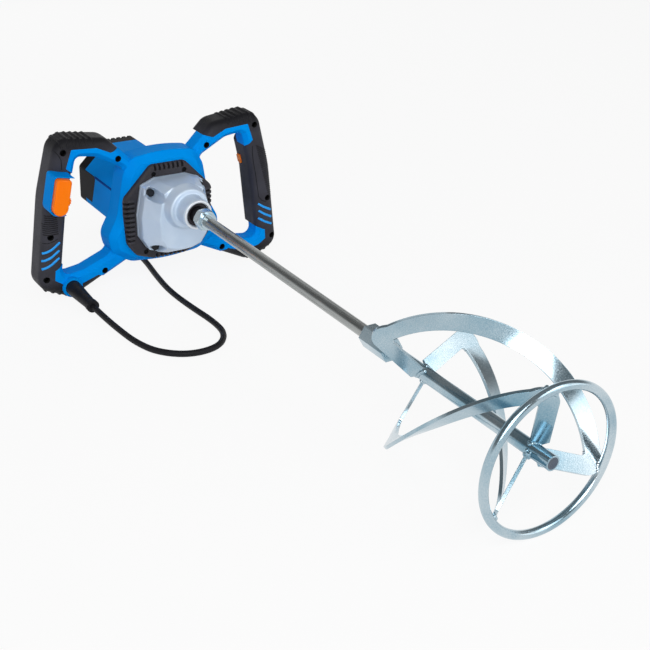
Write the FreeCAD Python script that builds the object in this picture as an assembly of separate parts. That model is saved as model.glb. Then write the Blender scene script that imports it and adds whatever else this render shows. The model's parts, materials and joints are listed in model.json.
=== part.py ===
import FreeCAD, Part
import math
import os

Vec = FreeCAD.Vector

# Electric mixing drill lying on its paddle ring and its two lower handle corners.
# The pieces are drawn in the tool's own frame: the spindle turns on the Y axis, the face of
# the nose collar is y = 0, the paddle points to -Y, X is across the handles and Z is up.
# Sizes are in millimetres.

# Clearances
overrun = 2.0            # how far a cut runs past the face that it opens
touch = 0.001            # points nearer than this are one point
running_gap = 0.05       # shaft in its bearing
moving_gap = 0.4         # pieces that pass each other
screw_gap = 0.1          # screw shank in its hole

# Stations along the tool axis, from the nose collar to the rear
nose_length = 20.0
nose_step_length = 14.0
casting_depth = 24.0
flange_depth = 12.0
plate_depth = 10.0
casting_y = nose_length + nose_step_length
flange_y = casting_y + casting_depth
plate_y = flange_y + flange_depth
body_y = plate_y + plate_depth

# Nose and gearbox casting
nose_r = 18.0
nose_bore_r = 13.7
nose_step_r = 24.0
nose_root_r = 27.0
nose_edge = 1.5
flange_half_width = 43.0
flange_height = 92.0
flange_bottom = -67.0
flange_shares = [(0.465, 0.995), (0.86, 0.924), (1.0, 0.543), (0.977, 0.25), (0.744, 0.076), (0.279, 0.011)]
casting_shares = [(0.349, 0.989), (0.628, 0.902), (0.721, 0.576), (0.674, 0.315), (0.488, 0.185), (0.186, 0.141)]
gearbox_screw_shares = [(0.73, 0.865), (0.628, 0.13)]
gearbox_pocket_r = 7.0
gearbox_seat_depth = 9.0
gearbox_screw_r = 2.5
gearbox_head_r = 4.4
gearbox_head_height = 4.5
gearbox_screw_reach = 16.0

# Gear train: motor pinion, layshaft wheel and pinion, output wheel
motor_drop = 24.0
pinion_teeth = 10
wheel_teeth = 30
first_module = 1.0
second_module = 1.25
pressure_angle = math.radians(25.0)
addendum_share = 0.8
dedendum_share = 1.0
backlash_share = 0.2
first_gear_width = 10.0
second_gear_width = 10.0
gear_side_gap = 2.0
gear_tip_gap = 1.2
layshaft_r = 4.0
layshaft_bearing_r = 6.5
layshaft_bearing_width = 4.0
gearbox_wall = 3.5

# Spindle, its bearings and seal
spindle_r = 10.0
spindle_stub = 10.0
spindle_journal_r = 7.5
spindle_tail_r = 5.0
spindle_bore_r = 7.0
spindle_bore_depth = 24.0
front_bearing_r = 15.0
front_bearing_width = 11.0
tail_bearing_r = 9.5
tail_bearing_width = 6.0
seal_depth = 3.0
seal_width = 6.0
circlip_width = 1.2
circlip_groove = 1.0
circlip_inner_r = 11.5

# Motor on its own axis below the spindle
motor_journal_r = 4.0
motor_bearing_r = 11.0
motor_bearing_width = 7.0
motor_shaft_r = 6.0
motor_nose = 1.0
fan_r = 32.0
fan_width = 12.0
fan_gap = 6.0
fan_hub_r = 10.0
fan_plate = 2.0
fan_blade = 1.6
fan_blades = 9
stator_r = 43.0
stator_yoke = 7.0
stator_length = 50.0
stator_gap = 8.0
pole_bore_r = 25.5
pole_half_height = 17.0
coil_overhang = 5.0
coil_gap = 0.5
core_r = 24.6
core_slots = 12
core_slot_width = 3.0
core_slot_depth = 6.0
winding_r = 21.0
winding_length = 8.0
commutator_r = 13.0
commutator_length = 18.0
commutator_gap = 4.0
brush_width = 10.0
brush_height = 8.0
brush_length = 16.0
brush_holder_wall = 1.4
rear_bearing_gap = 10.0

# Body: the shield-shaped front and the round barrel behind it
wall = 4.0
body_half_width = 73.0
body_height = 138.0
body_bottom = -86.0
body_corner = 20.0
body_shares = [(0.0, 1.0, 10.0), (0.575, 0.957, 0.8), (0.712, 0.82, 1.2), (0.836, 0.449, 2.0), (1.0, 0.29, 1.0),
               (0.945, 0.138, 0.9), (0.616, 0.029, 1.3), (0.0, 0.0, 10.0)]
body_depth = 44.0
body_bevel = 8.0
body_rear_bevel = 12.0
front_half_depth = 28.0
parting_y = body_y + front_half_depth
air_opening_r = 33.0
screw_boss_r = 5.5
barrel_apothem = 50.0
barrel_corner = 6.0
barrel_end_wall = 4.0
bearing_boss_wall = 3.0

# Vent ring round the gearbox
vent_side = 14.0
vent_over = 13.5
vent_under = 11.0
vent_corner = 10.0
vent_shares = [(0.386, 1.0, 1.0), (1.0, 0.687, 1.2), (1.0, 0.515, 2.0), (0.947, 0.197, 1.4),
               (0.754, 0.069, 1.2), (0.351, 0.0, 2.0)]
vent_half_width = flange_half_width + vent_side
vent_height = flange_height + vent_over + vent_under
vent_bottom = flange_bottom - vent_under
vent_depth = 7.0
vent_bevel = 2.5
vent_slot = 2.8
vent_slot_pitch = 5.8
vent_slot_reach = 6.5
vent_slot_floor = 1.2
side_slots = 9
end_slots = 7
vent_screw_shares = [(0.347, 0.91), (0.551, 0.098)]
vent_screw_r = 1.6
vent_head_r = 3.0
vent_head_height = 2.4
vent_seat_depth = 3.4
vent_screw_reach = 9.0

# Rear cap
cap_depth = 23.0
cap_wall = 3.2
cap_bevel = 5.0
cap_slot = 3.2
cap_slot_pitch = 7.2
cap_slots = 5
cap_slot_depth = 12.0
tongue_length = 32.0
tongue_slant = 13.0
tongue_share = 0.75
tongue_depth = 2.4
tongue_shares = [(0.40, 1.0), (-0.28, 0.58)]
cap_screw_offset = 28.0
cap_screw_r = 1.9
cap_head_r = 3.4
cap_head_height = 2.6
cap_seat_depth = 9.0
cap_screw_reach = 10.0
cap_screw_hole_r = 3.8

# Handles: one rounded frame across the body with an opening for each hand
handle_half_width = 160.0
handle_height = 196.5
handle_bottom = -115.0
handle_setback = 7.0
handle_depth = 39.0
arm_depth = 29.0
handle_corner = 20.0
handle_bevel = 5.0
arm_rear_bevel = 6.0
grip_round_share = 0.0509
grip_round = handle_height * grip_round_share
skin = 3.0
hollow_wall_share = 0.75
core_bevel = 5.0
root_lap = 3.0
handle_shares = [(0.25, 0.814, 0.2), (0.425, 0.957, 0.9), (0.806, 1.0, 1.0), (0.915, 0.646, 7.5),
                 (1.0, 0.092, 0.9), (0.75, 0.0, 1.1), (0.281, 0.188, 0.2)]
opening_top_shares = [(0.668, 0.875, 0.35), (0.525, 0.86, 0.9)]
opening_throat_share = 0.763
opening_bottom_shares = [(0.644, 0.168, 1.1), (0.819, 0.147, 0.45), (0.744, 0.626, 6.0)]
opening_corner_shares = [0.45, 1.5, 1.0, 0.6]
grip_side_shares = [(0.463, 0.789, 0.45), (0.5, 0.249, 0.45)]
skin_top_shares = [(0.294, 0.942), (0.337, 0.891), (0.412, 0.875), (0.518, 0.916), (0.707, 0.926),
                   (0.753, 0.819), (0.7, 0.779), (0.613, 0.805)]
skin_bottom_shares = [(0.662, 0.28), (0.819, 0.224), (0.875, 0.203), (0.881, 0.142), (0.819, 0.107),
                      (0.687, 0.086), (0.544, 0.125), (0.497, 0.104), (0.45, 0.046)]
skin_margin = 20.0
handle_screw_shares = [(0.766, 0.914), (0.894, 0.418), (0.942, 0.155), (0.356, 0.831), (0.492, 0.143)]
handle_head_hole_r = 3.75
handle_head_r = 3.4
handle_head_height = 3.0
handle_seat_depth = 11.0
handle_screw_r = 1.9
handle_screw_reach = 15.0
rib_r = 2.6
rib_sink = 0.9
top_rib_shares = [(0.569, 0.973), (0.613, 0.978), (0.656, 0.983), (0.704, 0.988), (0.75, 0.993)]
bottom_rib_shares = [(0.781, 0.0115), (0.825, 0.0275), (0.869, 0.0435), (0.9125, 0.0595)]

# Trigger, its guard and the switch, set along the leaning left grip
grip_lean = math.radians(11.0)
trigger_shares = (-0.849, 0.697)
trigger_half_width = 9.0
trigger_height = 42.5
trigger_proud = 7.0
trigger_travel = 8.0
trigger_edge = 4.0
guard_inner_width = 14.5
guard_outer_width = 10.5
guard_height = 46.0
guard_depth = 19.0
guard_edge = 3.0
stem_half_width = 4.4
stem_height = 28.0
stem_length = 17.0
stem_shift = 4.6
wheel_r = 7.0
wheel_width = 4.0
wheel_drop = 4.0
wheel_proud = 2.0
wheel_knurls = 16
wheel_knurl_r = 0.7
wheel_pin_r = 1.5
switch_width_share = 0.086
switch_half_width = handle_half_width * switch_width_share / 2
switch_shift = 6.2
switch_height = 26.0
switch_gap = 1.5

# Lock button on the inner side of the right grip
lock_shares = (0.742, 0.661)
lock_lean = math.radians(-13.8)
lock_height = 12.0
lock_width = 9.0
lock_proud = 2.2
lock_length = 11.0
lock_travel = 2.0
lock_setback = 6.5
lock_block_length = 8.0
lock_block_height = 16.0
lock_block_gap = 0.6

# Mains lead: gland boss, strain relief, clamp
relief_shares = (-0.7555, 0.083)
relief_boss_r = 12.0
relief_boss_proud = 3.0
relief_base_r = 9.0
relief_end_r = 6.5
relief_collar_r = 7.4
relief_collar_length = 6.0
relief_length = 58.0
relief_neck_r = 7.0
relief_neck_length = 14.0
clamp_half_width = 9.0
clamp_height = 9.0
clamp_depth = 11.0
controller_half_height = 10.0
controller_width = 12.0
controller_depth = 20.0

# Paddle
hex_flats = 22.0
hex_length = 11.0
hex_chamfer = 1.5
stud_length = 18.0
weld_collar_r = 9.2
weld_collar_length = 5.0
rod_r = 6.5
rod_end = 354.0
coupling_start = 338.0
coupling_length = 36.0
coupling_flats = 21.0
tube_r = 6.75
tube_end = 587.0
ring_y = 583.0
ring_r = 66.0
ring_wire_r = 4.0
band_count = 3
band_thickness = 3.0
upper_arm_angle = math.radians(117.4)
upper_arm_y = 425.9
upper_arm_pitch = math.radians(46.0)
upper_arm_slope = 0.40
upper_arm_inner = -2.6
upper_arm_outer = 13.2
upper_strip_start = 14.6
upper_strip_r = 57.5
upper_arm_round = 14.0
lower_arm_angle = math.radians(1.5)
lower_arm_y = 561.4
lower_arm_pitch = math.radians(54.0)
lower_arm_slope = -0.49
lower_arm_inner = 2.3
lower_arm_outer = -14.8
lower_strip_start = -19.5
lower_strip_r = 57.3
lower_arm_round = 15.5
arm_root_r = 2.0
arm_inner_round = 3.0
strip_width = 15.8
strip_bow = 8.4
strip_skew = -0.32
strip_sections = 13

# Mains cord
cord_r = 3.5
coil_pitch = 7.6
coil_outer_r = 48.0
coil_pass_turns = 2.4375
coil_passes = 4
coil_trim_turns = 0.25
coil_step_turns = 0.25
coil_centre_x = 50.0
coil_centre_y = 420.0
tie_thickness = 1.2
tie_width = 10.0
tail_length = 42.0
cord_sides = 10
plug_r = 18.0
plug_disc_length = 15.0
plug_neck_r = 6.0
plug_length = 38.0
pin_r = 2.4
pin_length = 19.0
pin_spacing = 19.0
pin_root = 6.0
plug_turn = 90.0
# The lead from the strain relief to the coil, in the frame that stands on the floor
cord_lead_out = 32.0
cord_route = [(-119.4, 145.0, 5.4), (-117.0, 108.0, 3.9), (-108.0, 73.0, 3.6),
              (-82.0, 49.0, 3.5), (-47.0, 50.0, 3.5), (-24.0, 77.0, 3.5), (-19.0, 115.0, 3.5),
              (-21.0, 165.0, 3.5), (-20.0, 222.0, 3.5), (-11.0, 277.0, 3.5), (-1.0, 325.0, 3.6),
              (3.9, 371.0, 4.7)]

# Stations of the motor; the barrel ends behind its rear bearing
fan_y = body_y + fan_gap
stator_y = fan_y + fan_width + stator_gap
core_y = stator_y + overrun
core_end_y = stator_y + stator_length - overrun
commutator_y = core_end_y + winding_length + commutator_gap
rear_bearing_y = commutator_y + commutator_length + rear_bearing_gap
barrel_y = rear_bearing_y + motor_bearing_width + barrel_end_wall

axis_y = Vec(0, 1, 0)


def cylinder(radius, y0, y1, x=0.0, z=0.0):
    return Part.makeCylinder(radius, y1 - y0, Vec(x, y0, z), axis_y)


def tube(outer_r, inner_r, y0, y1, x=0.0, z=0.0):
    return cylinder(outer_r, y0, y1, x, z).cut(cylinder(inner_r, y0 - overrun, y1 + overrun, x, z))


def block(x0, x1, y0, y1, z0, z1):
    return Part.makeBox(x1 - x0, y1 - y0, z1 - z0, Vec(x0, y0, z0))


def corner_trims(corners, y):
    # Start, middle, end and centre of the arc that rounds each corner (x, z, radius)
    trims = []
    for i, (x, z, r) in enumerate(corners):
        before = corners[i - 1]
        after = corners[(i + 1) % len(corners)]
        tip = Vec(x, y, z)
        back = Vec(before[0] - x, 0, before[1] - z).normalize()
        ahead = Vec(after[0] - x, 0, after[1] - z).normalize()
        half = back.getAngle(ahead) / 2
        inward = (back + ahead).normalize()
        reach = r / math.tan(half)
        centre = tip + inward * (r / math.sin(half))
        trims.append((tip + back * reach, centre - inward * r, tip + ahead * reach, centre))
    return trims


def corner_wire(corners, y):
    edges = []
    trims = corner_trims(corners, y)
    for i, (start, middle, end, _) in enumerate(trims):
        last = trims[i - 1][2]
        if last.distanceToPoint(start) > touch:
            edges.append(Part.makeLine(last, start))
        if start.distanceToPoint(end) > touch:
            edges.append(Part.Arc(start, middle, end).toShape())
    return Part.Wire(edges)


def prism(corners, y0, y1):
    return Part.Face(corner_wire(corners, y0)).extrude(axis_y * (y1 - y0))


def mirror_corners(right):
    return right + [(-c[0],) + tuple(c[1:]) for c in reversed(right) if abs(c[0]) > touch]


def inset(corners, distance):
    # The same outline with every side moved inwards, or outwards if the distance is negative
    area = sum(a[0] * b[1] - b[0] * a[1] for a, b in zip(corners, corners[1:] + corners[:1]))
    moved = []
    for i, (x, z, r) in enumerate(corners):
        before = corners[i - 1]
        after = corners[(i + 1) % len(corners)]
        back = Vec(before[0] - x, 0, before[1] - z).normalize()
        ahead = Vec(after[0] - x, 0, after[1] - z).normalize()
        half = back.getAngle(ahead) / 2
        convex = (-back.x * ahead.z + back.z * ahead.x) * area > 0
        side = 1 if convex else -1
        shift = (back + ahead).normalize() * (side * distance / math.sin(half))
        moved.append((x + shift.x, z + shift.z, max(r - side * distance, 0.0)))
    return moved


def plain(points):
    return [(x, z, 0.0) for x, z in points]


def edges_at(solid, y):
    return [e for e in solid.Edges if abs(e.BoundBox.YMin - y) < touch and abs(e.BoundBox.YMax - y) < touch]


def fuse_all(shapes):
    return shapes[0].multiFuse(shapes[1:]).removeSplitter()


def cut_all(shape, tools):
    return shape.cut(tools) if tools else shape


def half_space(front):
    # A block that holds everything in front of, or behind, the parting plane of the housing
    span = 2 * handle_half_width
    y0 = parting_y - span if front else parting_y
    return block(-span, span, y0, y0 + span, -span, span)


def hexagon(flats, y0, y1):
    r = flats / math.sqrt(3)
    points = [Vec(r * math.cos(k * math.pi / 3), y0, r * math.sin(k * math.pi / 3)) for k in range(7)]
    return Part.Face(Part.makePolygon(points)).extrude(axis_y * (y1 - y0))


def revolve(profile, x=0.0, z=0.0):
    # A turned piece: the profile lists (radius, y) round its axis
    points = [Vec(x + r, y, z) for r, y in profile]
    face = Part.Face(Part.makePolygon(points + points[:1]))
    return face.revolve(Vec(x, 0, z), axis_y, 360)


def screw(x, z, head_y, seat_y, end_y, head_r, shank_r):
    # A cylinder-head screw driven towards +Y (or -Y when the end lies before the head)
    low, high = min(head_y, seat_y), max(head_y, seat_y)
    head = cylinder(head_r, low, high, x, z)
    shank = cylinder(shank_r, min(seat_y, end_y), max(seat_y, end_y), x, z)
    return head.fuse(shank).removeSplitter()


def both_sides(places):
    return [(side * x, z) for x, z in places for side in (1, -1)]


# Outlines

def flange_outline(shares):
    right = [(sx * flange_half_width, flange_bottom + sz * flange_height) for sx, sz in shares]
    return plain(mirror_corners(right))


def body_corners():
    return [(sx * body_half_width, body_bottom + sz * body_height, sr * body_corner)
            for sx, sz, sr in body_shares]


def vent_outline():
    return mirror_corners([(sx * vent_half_width, vent_bottom + sz * vent_height, sr * vent_corner)
                           for sx, sz, sr in vent_shares])


def handle_place(sx, sz):
    return sx * handle_half_width, handle_bottom + sz * handle_height


def handle_corners(shares):
    return [handle_place(sx, sz) + (sr * handle_corner,) for sx, sz, sr in shares]


def barrel_outline(apothem, rounding):
    half_side = apothem * math.tan(math.pi / 8)
    ring = [(half_side, apothem), (apothem, half_side), (apothem, -half_side), (half_side, -apothem)]
    return mirror_corners([(x, z - motor_drop, rounding) for x, z in ring])


def opening_outline(side):
    # The hand opening; its inner edge lies just under the side of the body
    body_side = body_corners()[2:6]
    heights = [handle_place(0, opening_throat_share)[1]] + [c[1] for c in body_side[1:]]
    inner = [(c[0] - root_lap, z, s * handle_corner)
             for c, z, s in zip(body_side, heights, opening_corner_shares)]
    corners = handle_corners(opening_top_shares) + inner + handle_corners(opening_bottom_shares)
    return [(side * x, z, r) for x, z, r in corners]


def grip_opening_outline(side):
    # The same opening with a plain inner edge, for the soft parts that end before the body
    corners = handle_corners(opening_top_shares + grip_side_shares + opening_bottom_shares)
    return [(side * x, z, r) for x, z, r in corners]


def skin_zone(side):
    # Region of the soft overmould: upper bumper, grip, lower corner and pad
    reach = handle_half_width + skin_margin
    top = handle_bottom + handle_height + skin_margin
    bottom = handle_bottom - skin_margin
    upper = [handle_place(*s) for s in skin_top_shares]
    lower = [handle_place(*s) for s in skin_bottom_shares]
    ring = upper + lower + [(lower[-1][0], bottom), (reach, bottom), (reach, top), (upper[0][0], top)]
    return plain([(side * x, z) for x, z in ring])


handle_y = body_y + handle_setback
handle_end_y = handle_y + handle_depth
arm_end_y = handle_y + arm_depth
handle_outline = mirror_corners(handle_corners(handle_shares))
hollow_wall = skin + wall * hollow_wall_share
hollow_end_y = handle_end_y - hollow_wall
arm_hollow_end_y = arm_end_y - hollow_wall


def handle_frame(opening, distance, y0, y1):
    # The frame of both handles with every wall moved inwards by a distance
    frame = prism(inset(handle_outline, distance), y0, y1)
    holes = [prism(inset(opening(side), -distance), y0 - overrun, y1 + overrun) for side in (1, -1)]
    return cut_all(frame, holes)


def edge_pair(solid, y0, y1):
    return edges_at(solid, y0) + edges_at(solid, y1)


# Gear train

def layshaft_place():
    # The layshaft lies where both pairs of wheels mesh
    first = first_module * (pinion_teeth + wheel_teeth) / 2
    second = second_module * (pinion_teeth + wheel_teeth) / 2
    z = (first ** 2 - second ** 2 - motor_drop ** 2) / (2 * motor_drop)
    return math.sqrt(second ** 2 - z ** 2), z


layshaft_x, layshaft_z = layshaft_place()
second_gear_y = casting_y + gearbox_wall + layshaft_bearing_width + gear_side_gap
first_gear_y = second_gear_y + second_gear_width + gear_side_gap
gear_cavity_y = second_gear_y - gear_side_gap


def involute(angle):
    return math.tan(angle) - angle


def gear(teeth, module, phase, y0, y1, x, z):
    # A spur wheel with true involute flanks; one tooth points along the phase angle
    pitch_r = module * teeth / 2
    base_r = pitch_r * math.cos(pressure_angle)
    root_r = pitch_r - dedendum_share * module
    tip_r = pitch_r + addendum_share * module
    half_tooth = math.pi / (2 * teeth) - backlash_share * module / (2 * pitch_r)
    start_r = max(base_r, root_r)
    radii = [start_r + (tip_r - start_r) * k / 3 for k in range(4)]
    flank = [(r, half_tooth + involute(pressure_angle) - involute(math.acos(base_r / r))) for r in radii]
    if root_r < base_r:
        flank.insert(0, (root_r, flank[0][1]))
    points = []
    for k in range(teeth):
        middle = phase + 2 * math.pi * k / teeth
        tooth = [(r, middle - a) for r, a in flank] + [(r, middle + a) for r, a in reversed(flank)]
        points += [Vec(x + r * math.cos(a), y0, z + r * math.sin(a)) for r, a in tooth]
    face = Part.Face(Part.makePolygon(points + points[:1]))
    return face.extrude(axis_y * (y1 - y0))


first_line = math.atan2(layshaft_z + motor_drop, layshaft_x)
second_line = math.atan2(-layshaft_z, -layshaft_x)
half_wheel_tooth = math.pi / wheel_teeth


def wheel_tip_r(teeth, module):
    return module * (teeth / 2 + addendum_share)


# Root pieces: gearbox

plate_bearing_y = body_y - motor_bearing_width
spindle_bearing_y = nose_length + gearbox_wall


def gearbox_screw_places():
    return both_sides([(sx * flange_half_width, flange_bottom + sz * flange_height)
                       for sx, sz in gearbox_screw_shares])


def make_gearbox_cover():
    front = corner_wire(flange_outline(casting_shares), casting_y)
    rim = corner_wire(flange_outline(flange_shares), flange_y)
    casting = Part.makeLoft([front, rim], True, True)
    flange = prism(flange_outline(flange_shares), flange_y, plate_y)
    nose = revolve([(0, 0), (nose_r - nose_edge, 0), (nose_r, nose_edge), (nose_r, nose_length),
                    (nose_step_r - nose_edge, nose_length), (nose_step_r, nose_length + nose_edge),
                    (nose_root_r, casting_y), (nose_root_r, casting_y + nose_edge), (0, casting_y + nose_edge)])
    body = fuse_all([casting, flange, nose])
    big_r = wheel_tip_r(wheel_teeth, second_module) + gear_tip_gap
    lay_r = wheel_tip_r(wheel_teeth, first_module) + gear_tip_gap
    pinion_r = wheel_tip_r(pinion_teeth, second_module) + gear_tip_gap
    motor_r = wheel_tip_r(pinion_teeth, first_module) + gear_tip_gap
    first_start = first_gear_y - gear_side_gap / 2
    end = plate_y + overrun
    tools = [cylinder(nose_bore_r, -overrun, spindle_bearing_y + touch),
             cylinder(front_bearing_r, spindle_bearing_y, gear_cavity_y + overrun),
             tube(front_bearing_r + circlip_groove, circlip_inner_r,
                  spindle_bearing_y + front_bearing_width,
                  spindle_bearing_y + front_bearing_width + circlip_width),
             cylinder(big_r, gear_cavity_y, first_start),
             cylinder(tail_bearing_r, first_start - overrun, end),
             cylinder(pinion_r, gear_cavity_y, first_start, layshaft_x, layshaft_z),
             cylinder(lay_r, first_start, end, layshaft_x, layshaft_z),
             cylinder(motor_r, first_start, end, 0, -motor_drop),
             cylinder(layshaft_bearing_r, casting_y + gearbox_wall, gear_cavity_y + overrun,
                      layshaft_x, layshaft_z)]
    for x, z in gearbox_screw_places():
        tools.append(cylinder(gearbox_pocket_r, casting_y - nose_step_length, plate_y - gearbox_seat_depth, x, z))
        tools.append(cylinder(gearbox_screw_r + screw_gap, casting_y, end, x, z))
    return cut_all(body, tools)


def make_gearbox_plate():
    plate = prism(flange_outline(flange_shares), plate_y, body_y)
    start = plate_y - overrun
    tools = [cylinder(tail_bearing_r, start, plate_y + tail_bearing_width),
             cylinder(layshaft_bearing_r, start, plate_y + layshaft_bearing_width, layshaft_x, layshaft_z),
             cylinder(motor_bearing_r, plate_bearing_y, body_y + overrun, 0, -motor_drop),
             cylinder(wheel_tip_r(pinion_teeth, first_module) + moving_gap, start, body_y, 0, -motor_drop)]
    tools += [cylinder(gearbox_screw_r + screw_gap, start, body_y + overrun, x, z)
              for x, z in gearbox_screw_places()]
    return cut_all(plate, tools)


def make_gearbox_screws():
    seat = plate_y - gearbox_seat_depth
    return [screw(x, z, seat - gearbox_head_height, seat, body_y + gearbox_screw_reach, gearbox_head_r,
                  gearbox_screw_r) for x, z in gearbox_screw_places()]


def vent_screw_places():
    return both_sides([(sx * vent_half_width, vent_bottom + sz * vent_height) for sx, sz in vent_screw_shares])


vent_y = body_y - vent_depth
vent_seat_y = vent_y + vent_seat_depth


def make_vent_ring():
    # A slotted frame round the gearbox, open along its edges for the cooling air
    outline = vent_outline()
    ring = prism(outline, vent_y, body_y)
    ring = ring.makeChamfer(vent_bevel, edges_at(ring, vent_y))
    clear = [(x, z, r) for x, z, r in inset(flange_outline(flange_shares), -moving_gap)]
    tools = [prism(clear, vent_y - overrun, body_y + overrun)]
    slot_end = body_y - vent_slot_floor
    side_middle = vent_bottom + vent_height * (vent_shares[1][1] + vent_shares[3][1]) / 2
    for k in range(side_slots):
        z = side_middle + (k - (side_slots - 1) / 2) * vent_slot_pitch - vent_slot / 2
        for x in (-vent_half_width - overrun, vent_half_width - vent_slot_reach):
            tools.append(block(x, x + vent_slot_reach + overrun, vent_y - overrun, slot_end, z, z + vent_slot))
    top = vent_bottom + vent_height
    for k in range(end_slots):
        x = (k - (end_slots - 1) / 2) * vent_slot_pitch - vent_slot / 2
        for z in (vent_bottom - overrun, top - vent_slot_reach):
            tools.append(block(x, x + vent_slot, vent_y - overrun, slot_end, z, z + vent_slot_reach + overrun))
    for x, z in vent_screw_places():
        tools.append(cylinder(vent_head_r + screw_gap, vent_y - overrun, vent_seat_y, x, z))
        tools.append(cylinder(vent_screw_r + screw_gap, vent_y, body_y + overrun, x, z))
    return cut_all(ring, tools)


def make_vent_screws():
    return [screw(x, z, vent_seat_y - vent_head_height, vent_seat_y, body_y + vent_screw_reach, vent_head_r,
                  vent_screw_r) for x, z in vent_screw_places()]


# Housing halves and overmoulds

handle_seat_y = handle_y + handle_seat_depth
handle_screw_end_y = handle_seat_y + handle_screw_reach


def handle_screw_places():
    return both_sides([handle_place(*s) for s in handle_screw_shares])


def trigger_place():
    return handle_place(*trigger_shares)


def lock_place():
    return handle_place(*lock_shares)


def relief_place():
    return handle_place(*relief_shares)


def along_grip(shape, place, lean):
    # Turn a piece drawn round the Y axis to the lean of a grip and move it there
    turned = shape.copy()
    turned.rotate(Vec(0, 0, 0), axis_y, math.degrees(lean))
    turned.translate(Vec(place[0], 0, place[1]))
    return turned


def trigger_outline(margin):
    # Seen from the front: square top, round lower end
    half_width = trigger_half_width + margin
    half_height = trigger_height / 2 + margin
    return [(half_width, half_height, trigger_edge), (half_width, -half_height, half_width - margin),
            (-half_width, -half_height, half_width - margin), (-half_width, half_height, trigger_edge)]


guard_y = handle_y - guard_depth
core_front_y = handle_y + skin
trigger_rear_y = core_front_y - trigger_travel - moving_gap


def stem_block(y0, y1, margin):
    # The trigger's stem, set towards the inner side where the grip is hollow
    return block(stem_shift - stem_half_width - margin, stem_shift + stem_half_width + margin, y0, y1,
                 -stem_height / 2 - margin, stem_height / 2 + margin)


def trigger_cut():
    slot = stem_block(core_front_y - overrun, core_front_y + hollow_wall, moving_gap)
    return along_grip(slot, trigger_place(), grip_lean)


def guard_cut():
    return along_grip(prism(guard_outline(0), guard_y, core_front_y), trigger_place(), grip_lean)


def guard_outline(margin):
    inner = guard_inner_width + margin
    outer = -guard_outer_width - margin
    half_height = guard_height / 2 + margin
    return [(inner, half_height, guard_edge), (inner, -half_height, trigger_half_width),
            (outer, -half_height, trigger_half_width), (outer, half_height, guard_edge)]


def make_trigger_guard():
    solid = prism(guard_outline(0), guard_y, core_front_y)
    well = prism(trigger_outline(moving_gap), guard_y - overrun, core_front_y + overrun)
    half_height = trigger_height / 2 + moving_gap
    side = block(0, guard_inner_width + overrun, guard_y - overrun, handle_y, -half_height, half_height)
    return along_grip(solid.cut([well, side]), trigger_place(), grip_lean)


def lock_cut():
    # Slot for the lock button through the inner wall of the right grip
    half_height = lock_height / 2 + moving_gap
    half_width = lock_width / 2 + moving_gap
    y = parting_y + lock_setback
    reach = lock_length + lock_travel + lock_block_gap
    slot = block(-lock_proud - overrun, reach, y - half_width, y + half_width, -half_height, half_height)
    return along_grip(slot, lock_place(), lock_lean)


def handle_solids():
    # Hard frame with bevelled edges, soft frame with rounded edges, and the core under the soft skin
    hard = handle_frame(opening_outline, 0, handle_y, arm_end_y)
    hard = hard.makeChamfer(handle_bevel, edges_at(hard, handle_y))
    hard = hard.makeChamfer(arm_rear_bevel, edges_at(hard, arm_end_y))
    soft = handle_frame(grip_opening_outline, 0, handle_y, handle_end_y)
    soft = soft.makeFillet(grip_round, edge_pair(soft, handle_y, handle_end_y))
    core = handle_frame(grip_opening_outline, skin, handle_y + skin, handle_end_y - skin)
    core = core.makeChamfer(core_bevel, edge_pair(core, handle_y + skin, handle_end_y - skin))
    return hard, soft, core


def skin_prism(side):
    return prism(skin_zone(side), handle_y - guard_depth, handle_end_y + skin_margin)


def rib_cuts(side):
    grooves = [handle_place(*s) for s in top_rib_shares + bottom_rib_shares]
    middle = handle_bottom + handle_height / 2
    cuts = []
    for x, z in grooves:
        lift = rib_r - rib_sink
        cuts.append(cylinder(rib_r, handle_y - overrun, handle_end_y + overrun, side * x,
                             z + math.copysign(lift, z - middle)))
    return cuts


def make_skin(soft, core, side):
    shell = soft.common(skin_prism(side)).cut([core] + rib_cuts(side))
    tools = [cylinder(handle_head_hole_r, handle_y - overrun, handle_seat_y, x, z)
             for x, z in handle_screw_places() if x * side > 0]
    if side < 0:
        tools += [guard_cut(), trigger_cut()]
        tools.append(cylinder(relief_boss_r, handle_y - overrun, core_front_y + wall, *relief_place()))
    else:
        tools.append(lock_cut())
    shell = cut_all(shell, tools)
    return shell.common(half_space(True)), shell.common(half_space(False))


def make_body_solid():
    solid = prism(mirror_corners(body_corners()), body_y, body_y + body_depth)
    solid = solid.makeChamfer(body_bevel, edges_at(solid, body_y))
    return solid.makeChamfer(body_rear_bevel, edges_at(solid, body_y + body_depth))


def housing_cavities(body_prism):
    # Hollow arms and grips, and the hollow front body
    arms = handle_frame(opening_outline, hollow_wall, handle_y + hollow_wall, arm_hollow_end_y).cut(body_prism)
    deep = handle_frame(grip_opening_outline, hollow_wall, handle_y + hollow_wall, hollow_end_y)
    grips = [deep.common(prism(inset(skin_zone(side), hollow_wall), handle_y, handle_end_y)) for side in (1, -1)]
    outline = mirror_corners(body_corners())
    front_room = prism(inset(outline, wall), body_y + wall, parting_y + wall / 2)
    front_room = front_room.makeChamfer(body_bevel - wall / 2, edges_at(front_room, body_y + wall))
    rear_room = prism(inset(outline, body_rear_bevel + wall / 2), parting_y, body_y + body_depth - wall)
    return grips + [arms, front_room, rear_room]


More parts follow.
